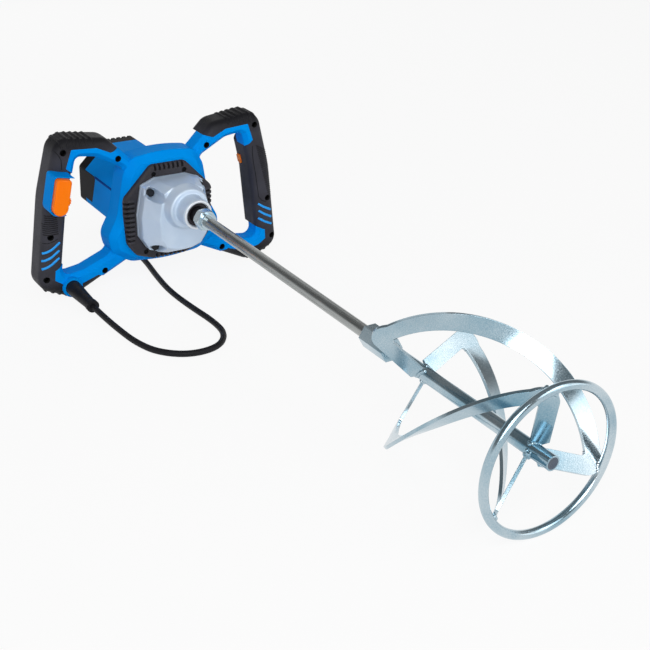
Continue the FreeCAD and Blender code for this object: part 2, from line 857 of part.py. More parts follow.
def make_housings(hard, core, body):
    outline = mirror_corners(body_corners())
    zones = [skin_prism(side) for side in (1, -1)]
    frame = fuse_all([hard.cut(zones)] + [core.common(zone) for zone in zones])
    shell = fuse_all([frame, body])
    shell = shell.cut(housing_cavities(prism(outline, body_y, body_y + body_depth)))
    bosses = [cylinder(screw_boss_r, handle_y, handle_end_y, x, z).common(frame)
              for x, z in handle_screw_places()]
    bosses += [cylinder(screw_boss_r, body_y + touch, body_y + gearbox_screw_reach + wall, x, z)
               for x, z in gearbox_screw_places()]
    bosses += [cylinder(screw_boss_r, body_y + touch, body_y + vent_screw_reach + wall, x, z)
               for x, z in vent_screw_places()]
    relief_x, relief_z = relief_place()
    bosses.append(cylinder(relief_boss_r, handle_y - relief_boss_proud, core_front_y + wall, relief_x, relief_z))
    shell = fuse_all([shell] + bosses)
    tools = [trigger_cut(), guard_cut(), lock_cut(),
             cylinder(air_opening_r, body_y - overrun, body_y + 2 * wall, 0, -motor_drop),
             cylinder(relief_neck_r, handle_y - relief_boss_proud - overrun, parting_y, relief_x, relief_z)]
    for x, z in handle_screw_places():
        tools.append(cylinder(handle_head_hole_r, handle_y - overrun, handle_seat_y, x, z))
        tools.append(cylinder(handle_screw_r + screw_gap, handle_y, handle_screw_end_y + screw_gap, x, z))
    for x, z in gearbox_screw_places():
        tools.append(cylinder(gearbox_screw_r + screw_gap, body_y - overrun, body_y + gearbox_screw_reach, x, z))
    for x, z in vent_screw_places():
        tools.append(cylinder(vent_screw_r + screw_gap, body_y - overrun, body_y + vent_screw_reach, x, z))
    shell = shell.cut(tools)
    front = shell.common(half_space(True))
    rear = fuse_all([shell.common(half_space(False)), make_barrel()])
    return front, rear.cut(barrel_cuts())


def cap_screw_places():
    return both_sides([(cap_screw_offset, -motor_drop + s * cap_screw_offset) for s in (1, -1)])


def make_barrel():
    solid = prism(barrel_outline(barrel_apothem, barrel_corner), parting_y, barrel_y)
    return solid


def tongue_outline():
    # Side panel of the rear cap, seen from the side as (y, z), with a slanting front edge
    half_side = barrel_apothem * math.tan(math.pi / 8)
    top = -motor_drop + half_side
    bottom = -motor_drop - half_side * tongue_share
    front = barrel_y - tongue_length
    return [(barrel_y + touch, top), (front, top), (front + tongue_slant, bottom), (barrel_y + touch, bottom)]


def tongue(side, depth):
    points = [Vec(side * (barrel_apothem - depth), y, z) for y, z in tongue_outline()]
    face = Part.Face(Part.makePolygon(points + points[:1]))
    return face.extrude(Vec(side * depth, 0, 0))


def barrel_cuts():
    tools = [cylinder(stator_r, parting_y - overrun, barrel_y - barrel_end_wall, 0, -motor_drop)]
    boss = tube(motor_bearing_r + bearing_boss_wall, motor_bearing_r, rear_bearing_y,
                barrel_y - barrel_end_wall, 0, -motor_drop)
    posts = [cylinder(screw_boss_r, barrel_y - barrel_end_wall - cap_screw_reach, barrel_y - barrel_end_wall, x, z)
             for x, z in cap_screw_places()]
    tools[0] = tools[0].cut([boss] + posts)
    tools += [cylinder(cap_screw_r + screw_gap, barrel_y - barrel_end_wall - cap_screw_reach,
                       barrel_y + overrun, x, z) for x, z in cap_screw_places()]
    tools += [tongue(side, tongue_depth) for side in (1, -1)]
    return tools


def make_rear_cap():
    end = barrel_y + cap_depth
    cap = prism(barrel_outline(barrel_apothem, barrel_corner), barrel_y, end)
    cap = cap.makeChamfer(cap_bevel, edges_at(cap, end))
    hollow = prism(barrel_outline(barrel_apothem - cap_wall, barrel_corner - cap_wall), barrel_y - overrun,
                   end - cap_wall - cap_bevel)
    posts = [cylinder(screw_boss_r, barrel_y - overrun, end, x, z) for x, z in cap_screw_places()]
    cap = cap.cut(hollow.cut(posts))
    cap = fuse_all([cap] + [tongue(side, tongue_depth) for side in (1, -1)])
    tools = []
    for x, z in cap_screw_places():
        tools.append(cylinder(cap_screw_hole_r, end - cap_seat_depth, end + overrun, x, z))
        tools.append(cylinder(cap_screw_r + screw_gap, barrel_y - overrun, end, x, z))
    top = -motor_drop + barrel_apothem
    for k in range(cap_slots):
        x = (k - (cap_slots - 1) / 2) * cap_slot_pitch - cap_slot / 2
        for z in (top - cap_slot_depth, top - 2 * barrel_apothem - overrun):
            tools.append(block(x, x + cap_slot, end - cap_depth / 2, end + overrun, z,
                               z + cap_slot_depth + overrun))
    return cut_all(cap, tools)


def make_cap_screws():
    seat = barrel_y + cap_depth - cap_seat_depth
    end = barrel_y - barrel_end_wall - cap_screw_reach + cap_screw_r
    return [screw(x, z, seat + cap_head_height, seat, end, cap_head_r, cap_screw_r)
            for x, z in cap_screw_places()]


def make_handle_screws():
    return [screw(x, z, handle_seat_y - handle_head_height, handle_seat_y, handle_screw_end_y, handle_head_r,
                  handle_screw_r) for x, z in handle_screw_places()]


# Switch group

def wheel_centre():
    return trigger_half_width + wheel_proud - wheel_r, -wheel_drop


wheel_y = guard_y - trigger_proud + (trigger_proud - wheel_width) / 2


def make_trigger():
    solid = prism(trigger_outline(0), guard_y - trigger_proud, trigger_rear_y)
    solid = solid.makeFillet(trigger_edge / 2, edges_at(solid, guard_y - trigger_proud))
    x, z = wheel_centre()
    room = cylinder(wheel_r + moving_gap, wheel_y - moving_gap, wheel_y + wheel_width + moving_gap, x, z)
    pin = cylinder(wheel_pin_r - running_gap, wheel_y - overrun, wheel_y + wheel_width + overrun, x, z)
    stem = stem_block(trigger_rear_y - overrun, trigger_rear_y + stem_length, 0)
    return along_grip(fuse_all([solid.cut(room.cut(pin)), stem]), trigger_place(), grip_lean)


def make_speed_wheel():
    x, z = wheel_centre()
    wheel = tube(wheel_r, wheel_pin_r, wheel_y, wheel_y + wheel_width, x, z)
    knurls = []
    for k in range(wheel_knurls):
        a = 2 * math.pi * k / wheel_knurls
        knurls.append(cylinder(wheel_knurl_r, wheel_y - overrun, wheel_y + wheel_width + overrun,
                               x + wheel_r * math.cos(a), z + wheel_r * math.sin(a)))
    return along_grip(wheel.cut(knurls), trigger_place(), grip_lean)


def make_switch_body():
    y0 = trigger_rear_y + stem_length + trigger_travel + switch_gap
    solid = block(switch_shift - switch_half_width, switch_shift + switch_half_width, y0, hollow_end_y,
                  -switch_height / 2, switch_height / 2)
    return along_grip(solid, trigger_place(), grip_lean)


def make_lock_button():
    y = parting_y + lock_setback
    solid = block(-lock_proud, lock_length - lock_proud, y - lock_width / 2, y + lock_width / 2,
                  -lock_height / 2, lock_height / 2)
    long_edges = [e for e in solid.Edges if e.BoundBox.XLength > lock_length / 2]
    solid = solid.makeFillet(lock_width / 3, long_edges)
    return along_grip(solid, lock_place(), lock_lean)


def make_lock_block():
    x0 = lock_length - lock_proud + lock_travel + lock_block_gap
    y0 = parting_y + lock_setback - lock_width / 2
    solid = block(x0, x0 + lock_block_length, y0, hollow_end_y, -lock_block_height / 2, lock_block_height / 2)
    return along_grip(solid, lock_place(), lock_lean)


def make_strain_relief():
    x, z = relief_place()
    base = handle_y - relief_boss_proud
    end = base - relief_length
    profile = [(0, base + relief_neck_length), (relief_neck_r, base + relief_neck_length), (relief_neck_r, base),
               (relief_base_r, base), (relief_base_r, base - relief_collar_length),
               (relief_end_r, end + relief_collar_length), (relief_collar_r, end + relief_collar_length),
               (relief_collar_r, end), (0, end)]
    return revolve(profile, x, z)


def make_cord_clamp():
    x, z = relief_place()
    bar = block(x - clamp_half_width, x + clamp_half_width, arm_hollow_end_y - clamp_depth, arm_hollow_end_y,
                z - clamp_height / 2, z + clamp_height / 2)
    groove = Part.makeCylinder(cord_r, clamp_height + 2 * overrun,
                               Vec(x, arm_hollow_end_y - clamp_depth, z - clamp_height / 2 - overrun), Vec(0, 0, 1))
    return bar.cut(groove)


def make_speed_controller():
    # Electronics block on the inner face of the front wall, beside the fan
    side = body_corners()[3]
    x0 = -side[0] + body_bevel + wall
    return block(x0, x0 + controller_width, body_y + wall, body_y + wall + controller_depth,
                 side[1] - 2 * controller_half_height, side[1])


# Motor

shaft_end_y = rear_bearing_y + motor_bearing_width


def make_armature_shaft():
    z = -motor_drop
    pinion = gear(pinion_teeth, first_module, first_line, first_gear_y, first_gear_y + first_gear_width, 0, z)
    shaft = revolve([(0, first_gear_y - motor_nose), (motor_journal_r - motor_nose, first_gear_y - motor_nose),
                     (motor_journal_r, first_gear_y), (motor_journal_r, body_y), (motor_shaft_r, body_y),
                     (motor_shaft_r, rear_bearing_y), (motor_journal_r, rear_bearing_y),
                     (motor_journal_r, shaft_end_y - running_gap), (0, shaft_end_y - running_gap)], 0, z)
    return fuse_all([shaft, pinion])


def make_cooling_fan():
    z = -motor_drop
    hub = cylinder(fan_hub_r, fan_y, fan_y + fan_width, 0, z)
    plate = cylinder(fan_r, fan_y + fan_width - fan_plate, fan_y + fan_width, 0, z)
    blades = []
    for k in range(fan_blades):
        blade = block(fan_hub_r - fan_blade, fan_r - fan_blade, fan_y, fan_y + fan_width - fan_plate / 2,
                      -fan_blade / 2, fan_blade / 2)
        blade.rotate(Vec(0, 0, 0), axis_y, 360 * k / fan_blades)
        blade.translate(Vec(0, 0, z))
        blades.append(blade)
    bore = cylinder(motor_shaft_r, fan_y - overrun, fan_y + fan_width + overrun, 0, z)
    return fuse_all([hub, plate] + blades).cut(bore)


def make_stator():
    z = -motor_drop
    end = stator_y + stator_length
    yoke = tube(stator_r, stator_r - stator_yoke, stator_y, end, 0, z)
    poles = block(-stator_r + stator_yoke / 2, stator_r - stator_yoke / 2, stator_y, end, z - pole_half_height,
                  z + pole_half_height)
    poles = poles.common(cylinder(stator_r - stator_yoke / 2, stator_y, end, 0, z))
    return fuse_all([yoke, poles]).cut(cylinder(pole_bore_r, stator_y - overrun, end + overrun, 0, z))


def make_field_coils():
    z = -motor_drop
    y0 = stator_y - coil_overhang
    y1 = stator_y + stator_length + coil_overhang
    ring = tube(stator_r - stator_yoke - coil_gap / 2, pole_bore_r + coil_gap, y0, y1, 0, z)
    gap = pole_half_height + coil_gap / 2
    return ring.cut(block(-stator_r, stator_r, y0 - overrun, y1 + overrun, z - gap, z + gap)).Solids


def make_armature_core():
    z = -motor_drop
    core = tube(core_r, motor_shaft_r, core_y, core_end_y, 0, z)
    slots = []
    for k in range(core_slots):
        slot = block(core_r - core_slot_depth, core_r + overrun, core_y - overrun, core_end_y + overrun,
                     -core_slot_width / 2, core_slot_width / 2)
        slot.rotate(Vec(0, 0, 0), axis_y, 360 * k / core_slots)
        slot.translate(Vec(0, 0, z))
        slots.append(slot)
    return core.cut(slots)


def make_armature_windings():
    z = -motor_drop
    taper = winding_length / 3
    front = revolve([(motor_shaft_r, core_y), (winding_r, core_y), (winding_r, core_y - winding_length + taper),
                     (winding_r - taper, core_y - winding_length + moving_gap),
                     (motor_shaft_r, core_y - winding_length + moving_gap)], 0, z)
    rear = revolve([(motor_shaft_r, core_end_y), (winding_r, core_end_y),
                    (winding_r, core_end_y + winding_length - taper),
                    (winding_r - taper, core_end_y + winding_length), (motor_shaft_r, core_end_y + winding_length)],
                   0, z)
    return [front, rear]


def make_commutator():
    return tube(commutator_r, motor_shaft_r, commutator_y, commutator_y + commutator_length, 0, -motor_drop)


def brush_box(side, x0, x1, margin):
    y = commutator_y + commutator_length / 2
    z = -motor_drop
    low, high = sorted((side * x0, side * x1))
    return block(low, high, y - brush_width / 2 - margin, y + brush_width / 2 + margin,
                 z - brush_height / 2 - margin, z + brush_height / 2 + margin)


def make_brush_holders():
    # Brass boxes standing on the inner wall of the barrel, each guiding one brush
    start = commutator_r + brush_length / 4
    inner = cylinder(stator_r, commutator_y, commutator_y + commutator_length, 0, -motor_drop)
    return [brush_box(side, start, stator_r + overrun, brush_holder_wall).cut(
        brush_box(side, start - overrun, commutator_r + brush_length + moving_gap, 0)).common(inner)
        for side in (1, -1)]


def make_brushes():
    return [brush_box(side, commutator_r + moving_gap, commutator_r + brush_length, 0) for side in (1, -1)]


# Turning pieces of the gearbox and the paddle

def bearing(outer_r, bore_r, y0, width, x=0.0, z=0.0):
    return tube(outer_r, bore_r + running_gap, y0, y0 + width, x, z)


tail_end_y = plate_y + tail_bearing_width


def make_spindle():
    shoulder = spindle_bearing_y
    solid = revolve([(0, -spindle_stub), (spindle_r - nose_edge / 2, -spindle_stub),
                     (spindle_r, -spindle_stub + nose_edge / 2), (spindle_r, shoulder), (spindle_journal_r, shoulder),
                     (spindle_journal_r, second_gear_y + second_gear_width),
                     (spindle_tail_r, second_gear_y + second_gear_width), (spindle_tail_r, tail_end_y - moving_gap),
                     (0, tail_end_y - moving_gap)])
    return solid.cut(cylinder(spindle_bore_r, -spindle_stub - overrun, -spindle_stub + spindle_bore_depth))


def make_output_gear():
    phase = second_line + math.pi + half_wheel_tooth
    wheel = gear(wheel_teeth, second_module, phase, second_gear_y, second_gear_y + second_gear_width, 0, 0)
    bore = cylinder(spindle_journal_r, second_gear_y - overrun, second_gear_y + second_gear_width + overrun)
    return wheel.cut(bore)


def make_layshaft():
    shaft = cylinder(layshaft_r, casting_y + gearbox_wall + moving_gap,
                     plate_y + layshaft_bearing_width - moving_gap,
                     layshaft_x, layshaft_z)
    pinion = gear(pinion_teeth, second_module, second_line, second_gear_y, second_gear_y + second_gear_width,
                  layshaft_x, layshaft_z)
    return fuse_all([shaft, pinion])


def make_layshaft_gear():
    phase = first_line + math.pi + half_wheel_tooth
    wheel = gear(wheel_teeth, first_module, phase, first_gear_y, first_gear_y + first_gear_width,
                 layshaft_x, layshaft_z)
    return wheel.cut(cylinder(layshaft_r, first_gear_y - overrun, first_gear_y + first_gear_width + overrun,
                              layshaft_x, layshaft_z))


def make_rod_adapter():
    # Threaded stud, hexagon for the spanner and the collar that the rod is welded into
    y = -spindle_stub
    hexagon_end = y - hex_length
    corner_r = hex_flats / math.sqrt(3)
    crown = revolve([(0, y), (corner_r - hex_chamfer, y), (corner_r, y - hex_chamfer),
                     (corner_r, hexagon_end + hex_chamfer), (corner_r - hex_chamfer, hexagon_end), (0, hexagon_end)])
    stud = cylinder(spindle_bore_r, y, y + stud_length)
    collar = cylinder(weld_collar_r, hexagon_end - weld_collar_length, hexagon_end)
    return fuse_all([hexagon(hex_flats, hexagon_end, y).common(crown), stud, collar])


rod_start_y = -spindle_stub - hex_length - weld_collar_length


def make_mixing_rod():
    return cylinder(rod_r, -rod_end, rod_start_y)


def make_coupling_sleeve():
    y0 = -coupling_start - coupling_length
    sleeve = hexagon(coupling_flats, y0, -coupling_start)
    return sleeve.cut([cylinder(rod_r, -rod_end, 0), cylinder(tube_r, y0 - overrun, -rod_end)])


def make_paddle_tube():
    return cylinder(tube_r, -tube_end, -rod_end)


def make_mixing_ring():
    return Part.makeTorus(ring_r, ring_wire_r, Vec(0, -ring_y, 0), axis_y)


class ArmPlane:
    # The slanting plane of an arm: it holds one radius of the tool and is pitched about it like a blade
    def __init__(self, angle, y, pitch):
        self.angle = angle
        self.pitch = pitch
        self.origin = Vec(0, -y, 0)
        self.out = Vec(math.cos(angle), 0, math.sin(angle))
        self.round_way = Vec(-math.sin(angle), 0, math.cos(angle))
        self.up = axis_y * math.cos(pitch) + self.round_way * math.sin(pitch)
        self.normal = self.out.cross(self.up)

    def point(self, r, s):
        return self.origin + self.out * r + self.up * s

    def cylindrical(self, r, s):
        # Radius, angle and height of a point of the plane round the tool axis
        aside = s * math.sin(self.pitch)
        return math.hypot(r, aside), self.angle + math.atan2(aside, r), self.origin.y + s * math.cos(self.pitch)

    def plate(self, corners):
        # Flat plate of the band's thickness; corners are (radius, place along the blade, rounding)
        flat = prism(corners, -band_thickness / 2, band_thickness / 2)
        turn = FreeCAD.Matrix(self.out.x, -self.normal.x, self.up.x, self.origin.x,
                              self.out.y, -self.normal.y, self.up.y, self.origin.y,
                              self.out.z, -self.normal.z, self.up.z, self.origin.z,
                              0, 0, 0, 1)
        return flat.transformed(turn)


def arm_corners(slope, inner, outer, start, strip_middle_r, rounding):
    inner_r = strip_middle_r - strip_width / 2
    outer_r = strip_middle_r + strip_width / 2
    return [(arm_root_r, outer + slope * arm_root_r, 0), (outer_r, outer + slope * outer_r, rounding),
            (outer_r, start, 0), (inner_r, start, 0), (inner_r, inner + slope * inner_r, arm_inner_round),
            (arm_root_r, inner + slope * arm_root_r, 0)]


def strip_centre(t, upper, lower):
    # Middle line of the strip round the tool axis; it leaves and meets the arms along their pitch
    r0, a0, y0 = upper.cylindrical(upper_strip_r, upper_strip_start)
    r1, a1, y1 = lower.cylindrical(lower_strip_r, lower_strip_start)
    slope0 = (y1 - y0) * math.tan(upper.pitch) / r0
    slope1 = (y1 - y0) * math.tan(lower.pitch) / r1
    angle = ((2 * t ** 3 - 3 * t ** 2 + 1) * a0 + (t ** 3 - 2 * t ** 2 + t) * slope0
             + (3 * t ** 2 - 2 * t ** 3) * a1 + (t ** 3 - t ** 2) * slope1)
    r = r0 + (r1 - r0) * t + 4 * strip_bow * t * (1 - t) * (1 + strip_skew * (2 * t - 1))
    return Vec(r * math.cos(angle), y0 + (y1 - y0) * t, r * math.sin(angle))


def strip_section(t, upper, lower):
    angle = upper.angle + (lower.angle - upper.angle) * t
    out = Vec(math.cos(angle), 0, math.sin(angle))
    step = touch
    along = strip_centre(t - step, upper, lower) - strip_centre(t + step, upper, lower)
    if t == 0:
        along = upper.up
    if t == 1:
        along = lower.up
    across = out.cross(along).normalize() * (band_thickness / 2)
    side = out * (strip_width / 2)
    middle = strip_centre(t, upper, lower)
    corners = [middle + side + across, middle + side - across, middle - side - across, middle - side + across]
    return Part.makePolygon(corners + corners[:1])


def make_band(k, ring, tube_core):
    # Flat arms pitched like blades, joined by a bowed strip that winds round the tube
    turn = 2 * math.pi * k / band_count
    upper = ArmPlane(upper_arm_angle + turn, upper_arm_y, upper_arm_pitch)
    lower = ArmPlane(lower_arm_angle + turn, lower_arm_y, lower_arm_pitch)
    upper_plate = upper.plate(arm_corners(upper_arm_slope, upper_arm_inner, upper_arm_outer, upper_strip_start,
                                          upper_strip_r, upper_arm_round))
    lower_plate = lower.plate(arm_corners(lower_arm_slope, lower_arm_inner, lower_arm_outer, lower_strip_start,
                                          lower_strip_r, lower_arm_round))
    sections = [strip_section(i / (strip_sections - 1), upper, lower) for i in range(strip_sections)]
    strip = Part.makeLoft(sections, True, False)
    return fuse_all([upper_plate, strip, lower_plate]).cut([ring, tube_core])


# Standing on the floor: the frame turns until the ring and the handle feet are level

def foot_circle():
    foot = len(handle_shares) - 2
    centre = corner_trims(handle_outline, 0)[foot][3]
    foot_low = centre.z - handle_outline[foot][2]
    return handle_y + grip_round, foot_low + grip_round, grip_round


def rest_tilt():
    foot_y, foot_z, foot_r = foot_circle()
    across = foot_y + ring_y
    rise = foot_z + ring_r
    lean = math.asin((foot_r - ring_wire_r) / math.hypot(across, rise))
    return lean - math.atan2(rise, across)


tilt = rest_tilt()


def floor_level():
    return -ring_y * math.sin(tilt) - ring_r * math.cos(tilt) - ring_wire_r


def frame_middle():
    # Middle of the tool along the floor, from the ends of the paddle to the rear cap
    ring = make_mixing_ring()
    stem = make_paddle_tube()
    low, high = [], []
    for shape in [make_rear_cap(), ring, stem] + [make_band(k, ring, stem) for k in range(band_count)]:
        turned = shape.copy()
        turned.rotate(Vec(0, 0, 0), Vec(1, 0, 0), math.degrees(tilt))
        box = turned.optimalBoundingBox(False, False)
        low.append(box.YMin)
        high.append(box.YMax)
    return (min(low) + max(high)) / 2


def standing(shape, middle_y):
    # Turn a piece by the rest tilt and set it on the floor, with the origin under its middle
    placed = shape.copy()
    placed.rotate(Vec(0, 0, 0), Vec(1, 0, 0), math.degrees(tilt))
    placed.translate(Vec(0, -middle_y, -floor_level()))
    return placed


def standing_point(x, y, z, middle_y):
    return Vec(x, y * math.cos(tilt) - z * math.sin(tilt) - middle_y,
               y * math.sin(tilt) + z * math.cos(tilt) - floor_level())


# Mains cord, drawn in the standing frame

def rounded_path(points):
    # Straight runs joined by tangent arcs, each as large as its two runs allow
    edges = []
    radii = []
    last = points[0]
    for before, tip, after in zip(points, points[1:], points[2:]):
        back = (before - tip).normalize()
        ahead = (after - tip).normalize()
        half = back.getAngle(ahead) / 2
        reach = 0.45 * min(before.distanceToPoint(tip), after.distanceToPoint(tip))
        radius = reach * math.tan(half)
        inward = (back + ahead).normalize()
        start = tip + back * reach
        end = tip + ahead * reach
        middle = tip + inward * (radius / math.sin(half) - radius)
        edges.append(Part.makeLine(last, start))
        edges.append(Part.Arc(start, middle, end).toShape())
        radii.append(radius)
        last = end
    edges.append(Part.makeLine(last, points[-1]))
    return Part.Wire(edges), radii


def cord_section(point, along):
    side = along.cross(Vec(0, 0, 1)).normalize()
    up = side.cross(along).normalize()
    turn = [2 * math.pi * (k + 0.5) / cord_sides for k in range(cord_sides)]
    ring = [point + side * (cord_r * math.cos(a)) + up * (cord_r * math.sin(a)) for a in turn]
    return Part.makePolygon(ring + ring[:1])


def swept(path, start, along):
    return path.makePipeShell([cord_section(start, along)], True, False)


def make_cord_lead(start, along, finish):
    points = [start, start + along.normalize() * cord_lead_out] + [Vec(*p) for p in cord_route] + [finish]
    path, radii = rounded_path(points)
    print("cord lead radii", [round(r, 1) for r in radii], "length", round(path.Length, 1))
    return swept(path, start, points[1] - start), path.Length


def coil_state(u):
    # Place and direction on the coil after u turns: it spirals in and out, a layer at each reversal
    passes = u / coil_pass_turns
    leg = min(int(passes), coil_passes - 1)
    part = passes - leg
    inward = leg % 2 == 0
    travel = coil_pitch * coil_pass_turns
    r = coil_outer_r - travel * (part if inward else 1 - part)
    slope = -coil_pitch if inward else coil_pitch
    layer, climb = 0.0, 0.0
    for k in range(1, coil_passes):
        s = (u - k * coil_pass_turns) / (2 * coil_trim_turns) + 0.5
        if s >= 1:
            layer += 1
        elif s > 0:
            layer += s * s * (3 - 2 * s)
            climb = 6 * s * (1 - s) / (2 * coil_trim_turns)
        if abs(s - 0.5) < touch:
            slope = 0.0
    angle = math.pi - 2 * math.pi * (u - coil_trim_turns)
    ends = (coil_trim_turns, coil_passes * coil_pass_turns - coil_trim_turns)
    if u in ends:
        slope = 0.0
    out = Vec(math.cos(angle), math.sin(angle), 0)
    round_way = Vec(math.sin(angle), -math.cos(angle), 0)
    point = Vec(coil_centre_x, coil_centre_y, cord_r + tie_thickness + layer * coil_pitch) + out * r
    along = round_way * (2 * math.pi * r) + out * slope + Vec(0, 0, climb * coil_pitch)
    return point, along.normalize()


def biarc(p0, t0, p1, t1):
    # Two arcs that leave p0 along t0, arrive at p1 along t1 and meet smoothly
    v = p1 - p0
    t = t0 + t1
    a = 2 * (1 - t0.dot(t1))
    b = v.dot(t)
    d = v.dot(v) / (2 * b) if a < touch else (-b + math.sqrt(b * b + a * v.dot(v))) / a
    joint = (p0 + t0 * d + p1 - t1 * d) * 0.5
    return [arc_from(p0, t0, joint), arc_from(p1, t1 * -1, joint, True)]


def arc_from(start, along, end, backwards=False):
    # Arc that leaves start along a direction and passes through end
    chord = end - start
    side = chord - along * chord.dot(along)
    if side.Length < touch:
        edge = (end, start) if backwards else (start, end)
        return Part.makeLine(*edge)
    normal = side.normalize()
    radius = chord.dot(chord) / (2 * chord.dot(normal))
    centre = start + normal * radius
    middle = centre + ((start + end) * 0.5 - centre).normalize() * radius
    points = (end, middle, start) if backwards else (start, middle, end)
    return Part.Arc(*points).toShape()


def coil_stations():
    count = int(round((coil_passes * coil_pass_turns - 2 * coil_trim_turns) / coil_step_turns))
    return [coil_state(coil_trim_turns + k * coil_step_turns) for k in range(count + 1)]


def coil_self_gap(path, spacing):
    # Least distance between stretches of the coil that are more than half a turn apart
    points = path.discretize(Distance=spacing)
    skip = int(math.pi * (coil_outer_r - coil_pitch * coil_pass_turns) / spacing)
    least = min(p.distanceToPoint(q) for i, p in enumerate(points) for q in points[i + skip:])
    return least - 2 * cord_r


def make_cord_coil():
    stations = coil_stations()
    start, along = stations[0]
    lead_in = start - along * (2 * cord_r)
    edges = [Part.makeLine(lead_in, start)]
    for (p0, t0), (p1, t1) in zip(stations, stations[1:]):
        edges += biarc(p0, t0, p1, t1)
    last, heading = stations[-1]
    level = Vec(last.x, last.y, plug_r) + heading * tail_length
    edges += biarc(last, heading, level, heading)
    end = level + heading * (2 * cord_r)
    edges.append(Part.makeLine(level, end))
    path = Part.Wire(edges)
    print("coil length", round(path.Length, 1), "least gap to itself", round(coil_self_gap(path, cord_r), 2))
    return swept(path, lead_in, along), path.Length, lead_in, end


def make_cord_tie():
    # Strap round the bundle on the far side of the coil, lying under and over the turns
    inner_low = coil_outer_r - coil_pitch * coil_pass_turns - cord_r - moving_gap
    inner_high = coil_outer_r + cord_r + moving_gap
    top = tie_thickness + 2 * cord_r + coil_pitch * (coil_passes - 1) + moving_gap
    y = coil_centre_y
    x0 = coil_centre_x - tie_width / 2
    outer = block(x0, x0 + tie_width, y + inner_low - tie_thickness, y + inner_high + tie_thickness, 0,
                  top + tie_thickness)
    hole = block(x0 - overrun, x0 + tie_width + overrun, y + inner_low, y + inner_high, tie_thickness, top)
    return outer.cut(hole)


def make_plug(end):
    # Lies along the far side of the coil, its pins away from the lead
    body = revolve([(0, -plug_length), (plug_r, -plug_length), (plug_r, -plug_length + plug_disc_length),
                    (plug_neck_r, 0), (0, 0)])
    pins = [Part.makeCylinder(pin_r, pin_length + pin_root, Vec(x, -plug_length + pin_root, 0), axis_y * -1)
            for x in (-pin_spacing / 2, pin_spacing / 2)]
    body = body.cut(pins)
    for shape in [body] + pins:
        shape.rotate(Vec(0, 0, 0), Vec(0, 0, 1), plug_turn)
        shape.translate(end)
    return body, pins


